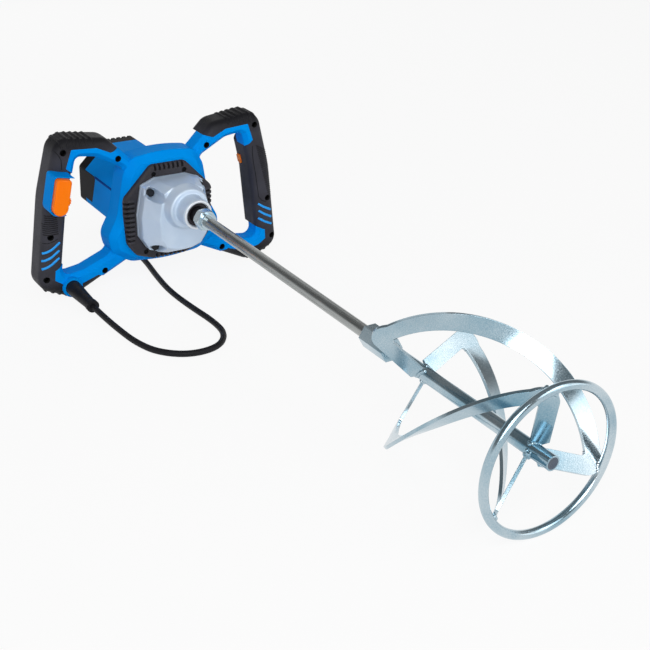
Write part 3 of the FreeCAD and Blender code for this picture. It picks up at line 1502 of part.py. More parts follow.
def build():
    hard, soft, core = handle_solids()
    front_housing, rear_housing = make_housings(hard, core, make_body_solid())
    right_front, right_rear = make_skin(soft, core, 1)
    left_front, left_rear = make_skin(soft, core, -1)
    ring = make_mixing_ring()
    tube_core = make_paddle_tube()
    z = -motor_drop
    nodes = {
        "gearbox_cover": [make_gearbox_cover()],
        "gearbox_plate": [make_gearbox_plate()],
        "gearbox_screws": make_gearbox_screws(),
        "front_vent_ring": [make_vent_ring()],
        "vent_ring_screws": make_vent_screws(),
        "front_housing": [front_housing],
        "rear_housing": [rear_housing],
        "rear_cap": [make_rear_cap()],
        "rear_cap_screws": make_cap_screws(),
        "right_grip_front": [right_front],
        "right_grip_rear": [right_rear],
        "left_grip_front": [left_front],
        "left_grip_rear": [left_rear],
        "handle_screws": make_handle_screws(),
        "trigger_guard": [make_trigger_guard()],
        "trigger": [make_trigger()],
        "speed_wheel": [make_speed_wheel()],
        "switch_body": [make_switch_body()],
        "lock_button": [make_lock_button()],
        "lock_switch": [make_lock_block()],
        "strain_relief": [make_strain_relief()],
        "cord_clamp": [make_cord_clamp()],
        "speed_controller": [make_speed_controller()],
        "armature_shaft": [make_armature_shaft()],
        "cooling_fan": [make_cooling_fan()],
        "stator_core": [make_stator()],
        "field_coils": make_field_coils(),
        "armature_core": [make_armature_core()],
        "armature_windings": make_armature_windings(),
        "commutator": [make_commutator()],
        "brush_holders": make_brush_holders(),
        "carbon_brushes": make_brushes(),
        "armature_front_bearing": [bearing(motor_bearing_r, motor_journal_r, plate_bearing_y,
                                           motor_bearing_width, 0, z)],
        "armature_rear_bearing": [bearing(motor_bearing_r, motor_journal_r, rear_bearing_y,
                                          motor_bearing_width, 0, z)],
        "layshaft": [make_layshaft()],
        "layshaft_gear": [make_layshaft_gear()],
        "layshaft_front_bearing": [bearing(layshaft_bearing_r, layshaft_r, casting_y + gearbox_wall,
                                           layshaft_bearing_width, layshaft_x, layshaft_z)],
        "layshaft_rear_bearing": [bearing(layshaft_bearing_r, layshaft_r, plate_y, layshaft_bearing_width,
                                          layshaft_x, layshaft_z)],
        "spindle": [make_spindle()],
        "output_gear": [make_output_gear()],
        "spindle_front_bearing": [bearing(front_bearing_r, spindle_journal_r, spindle_bearing_y,
                                          front_bearing_width)],
        "spindle_rear_bearing": [bearing(tail_bearing_r, spindle_tail_r, plate_y, tail_bearing_width)],
        "spindle_seal": [bearing(nose_bore_r, spindle_r, seal_depth, seal_width)],
        "bearing_circlip": [tube(front_bearing_r + circlip_groove, circlip_inner_r,
                                 spindle_bearing_y + front_bearing_width,
                                 spindle_bearing_y + front_bearing_width + circlip_width)],
        "rod_adapter": [make_rod_adapter()],
        "mixing_rod": [make_mixing_rod()],
        "coupling_sleeve": [make_coupling_sleeve()],
        "paddle_tube": [tube_core],
        "mixing_ring": [ring],
    }
    for k in range(band_count):
        nodes["mixing_band_%d" % (k + 1)] = [make_band(k, ring, tube_core)]
    middle_y = frame_middle()
    placed = {name: [standing(s, middle_y) for s in shapes] for name, shapes in nodes.items()}
    x, z = relief_place()
    exit_y = handle_y - relief_boss_proud - relief_length
    exit_point = standing_point(x, exit_y, z, middle_y)
    ahead = standing_point(x, exit_y - cord_r, z, middle_y) - exit_point
    coil, coil_length, coil_start, coil_end = make_cord_coil()
    lead, lead_length = make_cord_lead(exit_point, ahead, coil_start)
    plug, pins = make_plug(coil_end)
    placed["cord_lead"] = [lead]
    placed["cord_coil"] = [coil]
    placed["cord_tie"] = [make_cord_tie()]
    placed["plug_body"] = [plug]
    placed["plug_pins"] = pins
    section = Part.Face(cord_section(exit_point, ahead)).Area
    print("cord volume", round(lead.Volume + coil.Volume), "section by length",
          round(section * (lead_length + coil_length)))
    print("tilt", round(math.degrees(tilt), 3), "middle", round(middle_y, 2), "exit", exit_point, "ahead", ahead,
          "coil start", coil_start, "cord", round(lead_length + coil_length, 1))
    return placed


def export(placed):
    os.makedirs("parts", exist_ok=True)
    for name, shapes in placed.items():
        shape = shapes[0] if len(shapes) == 1 else Part.makeCompound(shapes)
        shape.exportStep("parts/%s.step" % name)


if __name__ == "__main__":
    export(build())
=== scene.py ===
import json
import math
import bmesh
import bpy
from mathutils import Matrix, Vector
from mathutils.bvhtree import BVHTree


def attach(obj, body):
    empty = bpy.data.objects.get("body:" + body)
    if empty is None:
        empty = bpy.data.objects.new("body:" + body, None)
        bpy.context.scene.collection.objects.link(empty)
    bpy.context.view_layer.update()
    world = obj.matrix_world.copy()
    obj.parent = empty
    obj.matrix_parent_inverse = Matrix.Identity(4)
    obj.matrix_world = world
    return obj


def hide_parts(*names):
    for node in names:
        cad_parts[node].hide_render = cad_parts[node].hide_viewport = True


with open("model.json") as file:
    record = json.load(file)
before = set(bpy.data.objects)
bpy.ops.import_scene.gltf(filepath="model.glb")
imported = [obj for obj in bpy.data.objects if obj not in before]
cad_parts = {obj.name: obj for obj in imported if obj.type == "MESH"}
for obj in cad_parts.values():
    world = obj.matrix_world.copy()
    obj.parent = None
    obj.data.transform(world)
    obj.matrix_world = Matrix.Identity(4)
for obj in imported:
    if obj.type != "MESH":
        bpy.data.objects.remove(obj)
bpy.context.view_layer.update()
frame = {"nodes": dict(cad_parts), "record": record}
nodes = frame["nodes"]
scene = bpy.context.scene
scene.view_settings.view_transform = "Standard"
mm = 0.001
print("frame loaded:", len(nodes), "nodes")

noseHalf = 10.0  # from the collar's face to its mount, mm
collar = next(m for m in frame["record"]["mounts"] if m["name"] == "nose_collar")
back = -Vector(collar["axis"]).normalized()
side = Vector((1, 0, 0))
rise = side.cross(back)
toolOrigin = Vector(collar["pos_m"]) - back * noseHalf * mm


def way(x, y, z):  # a direction of the tool's own frame
    return side * x + back * y + rise * z


def place(x, y, z):  # a point of the tool's own frame, in mm
    return toolOrigin + way(x, y, z) * mm


def link(name, data):
    made = bpy.data.objects.new(name, data)
    scene.collection.objects.link(made)
    return made


cameraSettings = dict(stand=(-599.8, -1145.9, 509.9), forward=(0.5034, 0.7397, -0.4467),
                      up=(0.2127, 0.3950, 0.8937), lens=67.41)
forward = way(*cameraSettings["forward"]).normalized()
right = forward.cross(way(*cameraSettings["up"])).normalized()
cameraData = bpy.data.cameras.new("photo_camera")
cameraData.lens = cameraSettings["lens"]
camera = link("photo_camera", cameraData)
turn = Matrix((right, right.cross(forward), -forward)).transposed()
camera.matrix_world = Matrix.Translation(place(*cameraSettings["stand"])) @ turn.to_4x4()
scene.camera = camera
print("camera placed")

# the cord is laid in the standing frame, in mm
cordSettings = dict(radius=3.5, length=2863.5, exit=(-120.88, 211.189, 9.529), heading=(0, -0.99804, -0.06265),
                    leadOut=32.0, centre=(50.0, 420.0), outer=48.0, pitch=7.6, passTurns=2.4375, passes=4,
                    trim=0.25, base=4.7, perTurn=16, tail=42.0, bend=(0.4, 0.6, 1.0), plugHeight=18.0, stub=7.0,
                    sides=4, fineness=6)
cordRoute = [(-119.4, 145.0, 5.4), (-117.0, 108.0, 3.9), (-108.0, 73.0, 3.6), (-82.0, 49.0, 3.5),
             (-47.0, 50.0, 3.5), (-24.0, 77.0, 3.5), (-19.0, 115.0, 3.5), (-21.0, 165.0, 3.5),
             (-20.0, 222.0, 3.5), (-11.0, 277.0, 3.5), (-1.0, 325.0, 3.6), (3.9, 371.0, 4.7)]


def coilPoint(u):  # after u turns: it spirals in and out, a layer higher at each reversal
    c = cordSettings
    leg = min(int(u / c["passTurns"]), c["passes"] - 1)
    part = u / c["passTurns"] - leg
    swell = 1 / math.cos(math.pi / c["perTurn"])  # the curve runs inside its control points
    r = c["outer"] - c["pitch"] * c["passTurns"] * (part if leg % 2 == 0 else 1 - part)
    layer = 0.0
    for k in range(1, c["passes"]):
        s = min(max((u - k * c["passTurns"]) / (2 * c["trim"]) + 0.5, 0), 1)
        layer += s * s * (3 - 2 * s)
    angle = math.pi - 2 * math.pi * (u - c["trim"])
    return Vector((c["centre"][0] + math.cos(angle) * r * swell, c["centre"][1] + math.sin(angle) * r * swell,
                   c["base"] + layer * c["pitch"]))


def makeCord():
    c = cordSettings
    mouth = Vector(c["exit"])
    points = [mouth, mouth + Vector(c["heading"]) * c["leadOut"]] + [Vector(p) for p in cordRoute]
    turns = c["passes"] * c["passTurns"] - 2 * c["trim"]
    count = round(turns * c["perTurn"])
    coil = [coilPoint(c["trim"] + turns * k / count) for k in range(count + 1)]
    points.append(coil[0] - Vector((0, c["stub"], 0)))
    points += coil
    last = coil[-1]
    angle = math.pi - 2 * math.pi * turns
    onward = Vector((math.sin(angle), -math.cos(angle), 0))
    for share, height in zip(c["bend"], (last.z, c["plugHeight"], c["plugHeight"])):  # up to the plug
        points.append(Vector((last.x, last.y, height)) + onward * c["tail"] * share)
    points.append(points[-1] + onward * c["stub"])
    curve = bpy.data.curves.new("mains_cord", "CURVE")
    curve.dimensions = "3D"
    curve.bevel_depth = 1.0  # the points carry the radius
    curve.bevel_resolution = c["sides"]
    curve.resolution_u = c["fineness"]
    curve.use_fill_caps = True
    spline = curve.splines.new("NURBS")
    spline.points.add(len(points) - 1)
    for dot, point in zip(spline.points, points):
        dot.co = (*(point * mm), 1)
        dot.radius = c["radius"] * mm
    spline.order_u = 3
    spline.use_endpoint_u = True
    return link("mains_cord", curve)


cord = makeCord()
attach(cord, "housing")
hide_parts("cord_lead", "cord_coil")
print("cord laid")


class Wire:  # a socket that takes part in maths
    def __init__(self, maker, socket):
        self.maker, self.socket = maker, socket

    def maths(self, operation, first, second):
        return self.maker.add("ShaderNodeMath", {"operation": operation}, {0: first, 1: second})

    def __add__(self, other):
        return self.maths("ADD", self, other)

    def __radd__(self, other):
        return self.maths("ADD", other, self)

    def __mul__(self, other):
        return self.maths("MULTIPLY", self, other)

    def __rmul__(self, other):
        return self.maths("MULTIPLY", other, self)


class Maker:  # a node tree and the one way to add to it
    def __init__(self, tree):
        self.tree = tree

    def feed(self, socket, value):
        if isinstance(value, Wire):
            self.tree.links.new(value.socket, socket)
        else:
            socket.default_value = value

    def add(self, kind, settings, values, output=0):
        made = self.tree.nodes.new(kind)
        for name, value in settings.items():
            setattr(made, name, value)
        for key, value in values.items():
            self.feed(made.inputs[key], value)
        return Wire(self, made.outputs[output])


def srgb(r, g, b):  # a colour as it is seen, 0 to 255
    parts = [v / 255 for v in (r, g, b)]
    return (*[v / 12.92 if v <= 0.04045 else ((v + 0.055) / 1.055) ** 2.4 for v in parts], 1)


finishSettings = dict(cloudLow=0.3, cloudHigh=0.7, edgeSamples=6)


class Finish(Maker):  # a material made of nodes
    def __init__(self, name):
        self.material = bpy.data.materials.new(name)
        self.material.use_nodes = True
        super().__init__(self.material.node_tree)
        self.shader = self.tree.nodes["Principled BSDF"]
        self.coords = self.add("ShaderNodeTexCoord", {}, {}, "Object")

    def noise(self, scale, detail, stretch=None):
        where = self.coords
        if stretch:
            where = self.add("ShaderNodeMapping", {}, {"Vector": where, "Scale": stretch})
        return self.add("ShaderNodeTexNoise", {}, {"Vector": where, "Scale": scale, "Detail": detail})

    def cells(self, scale):
        return self.add("ShaderNodeTexVoronoi", {}, {"Vector": self.coords, "Scale": scale}, "Distance")

    def spread(self, factor, low, high):  # a value stretched from low to high over 0 to 1
        return self.add("ShaderNodeMapRange", {}, {"Value": factor, "From Min": low, "From Max": high})

    def clouds(self, scale, detail):
        return self.spread(self.noise(scale, detail), finishSettings["cloudLow"], finishSettings["cloudHigh"])

    def mix(self, factor, first, second):
        return self.add("ShaderNodeMix", {"data_type": "RGBA"}, {0: factor, 6: first, 7: second}, 2)

    def skin(self, height, relief, depth, edge):  # a fine bump over softly rounded edges
        rounded = self.add("ShaderNodeBevel", {"samples": finishSettings["edgeSamples"]}, {"Radius": edge})
        return self.add("ShaderNodeBump", {}, {"Height": height, "Strength": relief, "Distance": depth,
                                               "Normal": rounded})

    def set(self, values):
        for name, value in values.items():
            self.feed(self.shader.inputs[name], value)
        return self.material


mouldSettings = dict(grainDetail=3.0, clouds=18.0, cloudDetail=3.0, depth=0.0003, uneven=0.12)


def moulded(name, low, high, roughness, grain, relief, edge, gloss):  # plastic with a fine mould grain
    m = mouldSettings
    f = Finish(name)
    fine = f.noise(grain, m["grainDetail"])
    return f.set({"Base Color": f.mix(f.clouds(m["clouds"], m["cloudDetail"]), low, high),
                  "Roughness": roughness + m["uneven"] * fine,
                  "Normal": f.skin(fine, relief, m["depth"], edge), "Specular IOR Level": gloss})


rubberSettings = dict(dots=900.0, clouds=40.0, cloudDetail=4.0, relief=0.3, depth=0.0003, edge=0.0008,
                      roughness=0.42, uneven=0.2, gloss=0.15)
gripEnds = dict(upper=(56.0, 72.0), lower=(-86.0, -98.0), colour=srgb(27, 27, 31))


def rubber(name, low, high, ends=None):  # soft overmould with a stippled skin
    r = rubberSettings
    f = Finish(name)
    dots = f.cells(r["dots"])
    paint = f.mix(f.clouds(r["clouds"], r["cloudDetail"]), low, high)
    if ends:  # the bumpers above and below the grips are darker
        height = f.add("ShaderNodeVectorMath", {"operation": "DOT_PRODUCT"}, {0: f.coords, 1: rise}, "Value")
        middle = toolOrigin.dot(rise)
        upper, lower = [f.spread(height, middle + ends[end][0] * mm, middle + ends[end][1] * mm)
                        for end in ("upper", "lower")]
        paint = f.mix(upper + lower, paint, ends["colour"])
    return f.set({"Base Color": paint, "Roughness": r["roughness"] + r["uneven"] * dots,
                  "Normal": f.skin(dots, r["relief"], r["depth"], r["edge"]), "Specular IOR Level": r["gloss"]})


castSettings = dict(sand=650.0, sandDetail=4.0, clouds=22.0, cloudDetail=3.0, relief=0.25, depth=0.0004,
                    edge=0.0012, metallic=0.3, roughness=0.34, uneven=0.16)


def castMetal(name, low, high):  # pale painted casting with a sandy skin
    c = castSettings
    f = Finish(name)
    sand = f.noise(c["sand"], c["sandDetail"])
    return f.set({"Base Color": f.mix(f.clouds(c["clouds"], c["cloudDetail"]), low, high),
                  "Metallic": c["metallic"], "Roughness": c["roughness"] + c["uneven"] * sand,
                  "Normal": f.skin(sand, c["relief"], c["depth"], c["edge"])})


zincSettings = dict(speckle=1100.0, clouds=14.0, detail=3.0, speckleShare=0.3, cloudShare=0.7, low=0.33, high=0.66,
                    relief=0.02, depth=0.0003, edge=0.0005, uneven=0.2)


def zinc(name, low, high, stretch, polish):  # plated sheet and bar with a fine speckle and cloudy tint
    z = zincSettings
    f = Finish(name)
    speckle = f.noise(z["speckle"], z["detail"], stretch)
    cloud = f.noise(z["clouds"], z["detail"], stretch)
    shade = f.spread(z["speckleShare"] * speckle + z["cloudShare"] * cloud, z["low"], z["high"])
    return f.set({"Base Color": f.mix(shade, low, high), "Metallic": 1.0,
                  "Roughness": polish + z["uneven"] * speckle,
                  "Normal": f.skin(speckle, z["relief"], z["depth"], z["edge"])})


turnedSettings = dict(marks=900.0, markDetail=2.0, stretch=(1, 0.04, 1), clouds=70.0, cloudDetail=4.0, relief=0.15,
                      depth=0.0002, edge=0.0004, uneven=0.12)


def turned(name, low, high, metallic, roughness):  # steel, copper and brass with fine tool marks
    t = turnedSettings
    f = Finish(name)
    marks = f.noise(t["marks"], t["markDetail"], t["stretch"])
    return f.set({"Base Color": f.mix(f.clouds(t["clouds"], t["cloudDetail"]), low, high), "Metallic": metallic,
                  "Roughness": roughness + t["uneven"] * marks,
                  "Normal": f.skin(marks, t["relief"], t["depth"], t["edge"])})


blueGrain = dict(grain=1300.0, relief=0.1)
blackGrain = dict(grain=1100.0, relief=0.15)
finishes = {
    "blue_plastic": moulded("blue_plastic", srgb(0, 138, 230), srgb(0, 148, 240), roughness=0.4, edge=0.0012,
                            gloss=0.012, **blueGrain),
    "soft_grip": rubber("soft_grip", srgb(48, 48, 55), srgb(60, 60, 68), gripEnds),
    "black_plastic": moulded("black_plastic", srgb(20, 20, 23), srgb(30, 30, 34), roughness=0.32, edge=0.0006,
                             gloss=0.02, **blackGrain),
    "orange_plastic": moulded("orange_plastic", srgb(255, 118, 0), srgb(255, 128, 0), roughness=0.2, grain=1300.0,
                              relief=0.05, edge=0.0008, gloss=0.15),
    "cast_alloy": castMetal("cast_alloy", srgb(188, 208, 230), srgb(208, 224, 242)),
    "zinc_steel": zinc("zinc_steel", srgb(108, 152, 172), srgb(202, 214, 220), stretch=None, polish=0.07),
    "dark_steel": turned("dark_steel", srgb(24, 25, 28), srgb(38, 39, 43), metallic=0.6, roughness=0.3),
    "bright_steel": turned("bright_steel", srgb(176, 180, 186), srgb(206, 208, 212), metallic=1.0, roughness=0.2),
    "copper": turned("copper", srgb(168, 92, 48), srgb(200, 120, 70), metallic=1.0, roughness=0.3),
    "carbon": turned("carbon", srgb(30, 30, 32), srgb(44, 44, 46), metallic=0.0, roughness=0.7),
    "brass": turned("brass", srgb(190, 156, 74), srgb(214, 182, 96), metallic=1.0, roughness=0.25),
    "cord_rubber": rubber("cord_rubber", srgb(20, 20, 23), srgb(30, 30, 34)),
}
palePlastic = moulded("pale_blue", srgb(30, 150, 238), srgb(44, 160, 244), roughness=0.35, edge=0.0004, gloss=0.15,
                      **blueGrain)
rodSteel = zinc("rod_steel", srgb(142, 146, 146), srgb(190, 192, 190), stretch=(1, 0.06, 1), polish=0.16)
# a darker copy of the blue plastic: painted shadow of the crease along the barrel's sides
creaseShadowBlue = moulded("seam_blue", srgb(0, 62, 140), srgb(0, 72, 152), roughness=0.5, edge=0.0004, gloss=0.03,
                   **blueGrain)
ventPlastic = moulded("vent_plastic", srgb(48, 47, 52), srgb(60, 58, 63), roughness=0.45, edge=0.0006, gloss=0.15,
                      **blackGrain)
# a lighter copy of the vent plastic: painted highlight on the louvre slats
slatHighlightPlastic = moulded("slat_plastic", srgb(58, 58, 63), srgb(70, 69, 74), roughness=0.4, edge=0.0004, gloss=0.1,
                      **blackGrain)
# a paler copy of the casting: painted highlight on the lip round the nose bore
lipHighlightMetal = castMetal("lip_metal", srgb(222, 230, 240), srgb(236, 242, 248))
# dark grey-blue steel filling the tube's end: painted shade of the open bore
boreShadeSteel = turned("bore_steel", srgb(74, 84, 98), srgb(88, 98, 112), metallic=0.4, roughness=0.4)
# near-black plastic for the grip seams and the vent ring screws, also used as painted shade in the vent gaps and the
# screw holes
blackAndPaintedShade = moulded("deep_black", srgb(8, 8, 9), srgb(13, 13, 14), roughness=0.55, grain=1100.0, relief=0.1,
                    edge=0.0004, gloss=0.1)
special = {"mixing_rod": rodSteel, "front_vent_ring": ventPlastic, "vent_ring_screws": blackAndPaintedShade,
           "spindle_seal": ventPlastic, "gearbox_screws": finishes["dark_steel"],
           "rear_cap_screws": finishes["bright_steel"]}
slotOf = {}
for name, obj in nodes.items():
    was = obj.material_slots[0].material.name
    slotOf[name] = next(k for k in finishes if was.startswith(k))
    for holder in obj.material_slots:
        holder.material = special.get(name, finishes[slotOf[name]])
cord.data.materials.append(finishes["cord_rubber"])
print("materials assigned")


def settled(shape):  # the mesh that the modifiers leave
    made = bpy.data.meshes.new_from_object(shape.evaluated_get(bpy.context.evaluated_depsgraph_get()))
    shape.modifiers.clear()
    shape.data = made
    return made


softSettings = dict(mergeWithin=0.002, pull=0.5)


def soften(name, node, voxel, rounds, body):  # a remeshed copy whose edges and inner corners are rounded
    mesh = nodes[node].data.copy()
    loose = bmesh.new()
    loose.from_mesh(mesh)
    bmesh.ops.remove_doubles(loose, verts=loose.verts, dist=softSettings["mergeWithin"] * mm)
    loose.to_mesh(mesh)
    loose.free()
    shape = link(name, mesh)
    remesh = shape.modifiers.new("remesh", "REMESH")
    remesh.mode = "VOXEL"
    remesh.voxel_size = voxel * mm
    smooth = shape.modifiers.new("smooth", "SMOOTH")
    smooth.factor = softSettings["pull"]
    smooth.iterations = rounds
    result = settled(shape)
    result.materials.clear()
    result.materials.append(finishes[slotOf[node]])
    result.shade_smooth()
    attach(shape, body)
    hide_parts(node)
    print(name, "triangles", 2 * len(result.polygons))


soften("gearbox_casting", "gearbox_cover", voxel=0.8, rounds=6, body="housing")
soften("trigger_paddle", "trigger", voxel=0.5, rounds=10, body="trigger")


class Grower(Maker):  # geometry nodes with named sizes
    def __init__(self, name, sizes):
        super().__init__(bpy.data.node_groups.new(name, "GeometryNodeTree"))
        face = self.tree.interface
        face.new_socket("Geometry", in_out="INPUT", socket_type="NodeSocketGeometry")
        for size, kind in sizes.items():
            face.new_socket(size, in_out="INPUT", socket_type=kind)
        face.new_socket("Geometry", in_out="OUTPUT", socket_type="NodeSocketGeometry")
        self.start = self.tree.nodes.new("NodeGroupInput")
        self.end = self.tree.nodes.new("NodeGroupOutput")

    def given(self, name):
        return Wire(self, self.start.outputs[name])

    def close(self, shape):
        whole = self.add("GeometryNodeRealizeInstances", {}, {"Geometry": shape})
        smooth = self.add("GeometryNodeSetShadeSmooth", {}, {"Geometry": whole})
        coat = self.add("GeometryNodeSetMaterial", {}, {"Geometry": smooth, "Material": self.given("Material")})
        self.feed(self.end.inputs[0], coat)


lineSettings = dict(sides=10, step=2.0, start=-40.0)  # cords laid on a surface, with rays from in front of it


def lineGrower():  # round cords along lines of edges
    g = Grower("raised_lines", {"Radius": "NodeSocketFloat", "Material": "NodeSocketMaterial"})
    path = g.add("GeometryNodeMeshToCurve", {}, {"Mesh": g.given("Geometry")})
    ring = g.add("GeometryNodeCurvePrimitiveCircle", {},
                 {"Resolution": lineSettings["sides"], "Radius": g.given("Radius")})
    g.close(g.add("GeometryNodeCurveToMesh", {}, {"Curve": path, "Profile Curve": ring, "Fill Caps": True}))
    return g.tree


def dropGrower():  # uneven drops of weld metal on points
    g = Grower("weld_drops", {"Radius": "NodeSocketFloat", "Least": "NodeSocketFloat", "Most": "NodeSocketFloat",
                              "Seed": "NodeSocketInt", "Material": "NodeSocketMaterial"})
    dots = g.add("GeometryNodeMeshToPoints", {}, {"Mesh": g.given("Geometry")})
    drop = g.add("GeometryNodeMeshIcoSphere", {}, {"Radius": g.given("Radius"), "Subdivisions": 2})
    size = g.add("FunctionNodeRandomValue", {"data_type": "FLOAT"},
                 {2: g.given("Least"), 3: g.given("Most"), "Seed": g.given("Seed")}, 1)
    g.close(g.add("GeometryNodeInstanceOnPoints", {}, {"Points": dots, "Instance": drop, "Scale": size}))
    return g.tree


def grow(name, lines, tree, sizes, body):
    mesh = bpy.data.meshes.new(name)
    points, edges = [], []
    for line in lines:
        edges += [(len(points) + k, len(points) + k + 1) for k in range(len(line) - 1)]
        points += line
    mesh.from_pydata(points, edges, [])
    piece = link(name, mesh)
    modifier = piece.modifiers.new("grow", "NODES")
    modifier.node_group = tree
    for item in tree.interface.items_tree:
        if item.name in sizes:
            modifier[item.identifier] = sizes[item.name]
    settled(piece)
    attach(piece, body)
    print(name, "faces", len(piece.data.polygons))


lineTree = lineGrower()


def growLines(name, lines, radius, material):
    grow(name, lines, lineTree, {"Radius": radius * mm, "Material": material}, "housing")


def surface(*names):
    points, faces = [], []
    for name in names:
        mesh = nodes[name].data
        faces += [[len(points) + i for i in p.vertices] for p in mesh.polygons]
        points += [v.co.copy() for v in mesh.vertices]
    return BVHTree.FromPolygons(points, faces)


def onFront(tree, corners, sink):  # a line of (x, z) places laid on the surface that faces forward
    line = []
    for (x0, z0), (x1, z1) in zip(corners, corners[1:]):
        count = max(1, math.ceil(math.hypot(x1 - x0, z1 - z0) / lineSettings["step"]))
        shares = [k / count for k in range(count + (corners[-1] == (x1, z1)))]  # the last run has its end too
        for share in shares:
            start = place(x0 + (x1 - x0) * share, lineSettings["start"], z0 + (z1 - z0) * share)
            hit, normal = tree.ray_cast(start, back)[:2]
            if hit:
                line.append(hit + normal * sink * mm * (1 if normal.dot(back) > 0 else -1))
    return line


bumperSettings = dict(radius=1.9, sink=0.85, reach=60.0, ends=[
    dict(across=[87.4, 94.5, 101.5, 108.8, 116.3, 123.6], centre=(100.0, 64.0), angles=range(24, 91, 6),
         runs=(106, 112, 118, 122)),
    dict(across=[118.0, 126.0, 134.0, 142.0, 150.0], centre=(102.0, -98.0), angles=range(-20, -76, -6), runs=())])


def overBumper(tree, x, end):  # a rib that follows the bumper's surface round its front edge
    line = []
    aims = [(end["centre"][0], angle) for angle in end["angles"]]
    aims += [(y, end["angles"][-1]) for y in end["runs"]]
    for y, angle in aims:
        outward = way(0, -math.cos(math.radians(angle)), math.sin(math.radians(angle)))
        start = place(x, y, end["centre"][1]) + outward * bumperSettings["reach"] * mm
        hit = tree.ray_cast(start, -outward)[0]
        if hit:
            dot = hit - outward * bumperSettings["sink"] * mm
            dot.z = max(dot.z, bumperSettings["radius"] * mm)  # it stays above the ground
            line.append(dot)
    return line


bumperRibs = []
for hand, gripSide in ((1, "right"), (-1, "left")):
    whole = surface(gripSide + "_grip_front", gripSide + "_grip_rear")
    for end in bumperSettings["ends"]:
        bumperRibs += [overBumper(whole, hand * x, end) for x in end["across"]]
bumperRibs = [line for line in bumperRibs if len(line) > 1]
growLines("bumper_ribs", bumperRibs, bumperSettings["radius"], finishes["soft_grip"])

skins = {1: surface("right_grip_front"), -1: surface("left_grip_front")}
stripeSettings = dict(radius=1.8, sink=1.0)
stripeLines = {1: [[(130.1, -39.1), (138.2, -44.5), (148.4, -49.6)],
                   [(131.0, -48.6), (139.2, -54.1), (149.2, -59.2)],
                   [(131.2, -58.8), (140.1, -64.5), (149.6, -68.8)]],
               -1: [[(-152.9, -52.0), (-142.5, -47.6), (-132.5, -40.6)],
                    [(-154.2, -61.5), (-143.1, -56.8), (-133.7, -50.3)],
                    [(-154.8, -71.2), (-143.7, -66.1), (-134.2, -59.5)]]}
seamSettings = dict(radius=0.42, sink=0.2)
seamLines = {1: [[(120.1, 38.0), (120.3, 30.4), (121.8, 19.9), (125.8, -0.1), (129.0, -20.3), (130.6, -29.9),
                  (135.1, -35.3), (141.0, -37.6)],
                 [(147.0, 71.0), (138.1, 71.7), (133.0, 68.9), (128.7, 63.6)]],
             -1: [[(-147.0, 76.0), (-138.1, 71.7), (-133.0, 68.9), (-128.7, 63.6), (-125.5, 57.3), (-125.6, 45.7)],
                  [(-158.0, -37.4), (-152.8, -39.7), (-146.8, -39.6), (-138.3, -37.6), (-134.6, -35.8)]]}
stripes, seams = [], []
for hand, skin in skins.items():
    stripes += [onFront(skin, line, stripeSettings["sink"]) for line in stripeLines[hand]]
    seams += [onFront(skin, line, seamSettings["sink"]) for line in seamLines[hand]]
growLines("grip_stripes", stripes, stripeSettings["radius"], palePlastic)
growLines("grip_seams", seams, seamSettings["radius"], blackAndPaintedShade)

ribSettings = dict(radius=0.85, sink=0.4,
                   left=dict(count=10, top=-7.0, pitch=2.5, outer=-149.5, inner=-134.5, widen=0.1),
                   right=dict(count=24, top=38.0, pitch=2.9, inner=125.0, lean=0.28, across=16.0, fall=9.0))
ribs = []
fan = ribSettings["left"]
for k in range(fan["count"]):
    z = fan["top"] - fan["pitch"] * k
    ends = [(fan["outer"] - fan["widen"] * k, z), (fan["inner"] + fan["widen"] * k, z)]
    ribs.append(onFront(skins[-1], ends, ribSettings["sink"]))
fan = ribSettings["right"]
for k in range(fan["count"]):
    z = fan["top"] - fan["pitch"] * k
    inner = fan["inner"] + fan["lean"] * fan["pitch"] * k
    ends = [(inner, z), (inner + fan["across"], z - fan["fall"])]
    ribs.append(onFront(skins[1], ends, ribSettings["sink"]))
# the ribs take the darker cord rubber: painted shade of the grooves between them
growLines("grip_ribs", ribs, ribSettings["radius"], finishes["cord_rubber"])

railSettings = dict(radius=1.3, x=50.0, z=-3.3, front=126.0, rear=174.0)
rails = []
for hand in (1, -1):
    rails.append([place(hand * railSettings["x"], railSettings[end], railSettings["z"]) for end in ("front", "rear")])
# the raised rails along the barrel's side crease are coloured with the painted crease shadow
growLines("barrel_rails", rails, railSettings["radius"], creaseShadowBlue)

slatSettings = dict(radius=1.35, sink=0.4, middle=-26.5, pitch=5.8, count=10, outer=53.6, inner=45.2, gapRadius=1.5,
                    gapSink=1.25, slotEnd=50.3)
slats, gaps = [], []
ringSkin = surface("front_vent_ring")
for k in range(slatSettings["count"]):
    z = slatSettings["middle"] + (k - (slatSettings["count"] - 1) / 2) * slatSettings["pitch"]
    for hand in (1, -1):
        reach = [hand * slatSettings["outer"], hand * slatSettings["inner"]]
        slats.append(onFront(ringSkin, [(x, z) for x in reach], slatSettings["sink"]))
        # near-black bars between the slats: painted shade of the louvre openings
        if k:
            below = z - slatSettings["pitch"] / 2
            innerHalf = [hand * slatSettings["slotEnd"], reach[1]]
            gaps.append(onFront(ringSkin, [(x, below) for x in innerHalf], slatSettings["gapSink"]))
growLines("vent_slats", slats, slatSettings["radius"], slatHighlightPlastic)
growLines("vent_gaps", gaps, slatSettings["gapRadius"], blackAndPaintedShade)


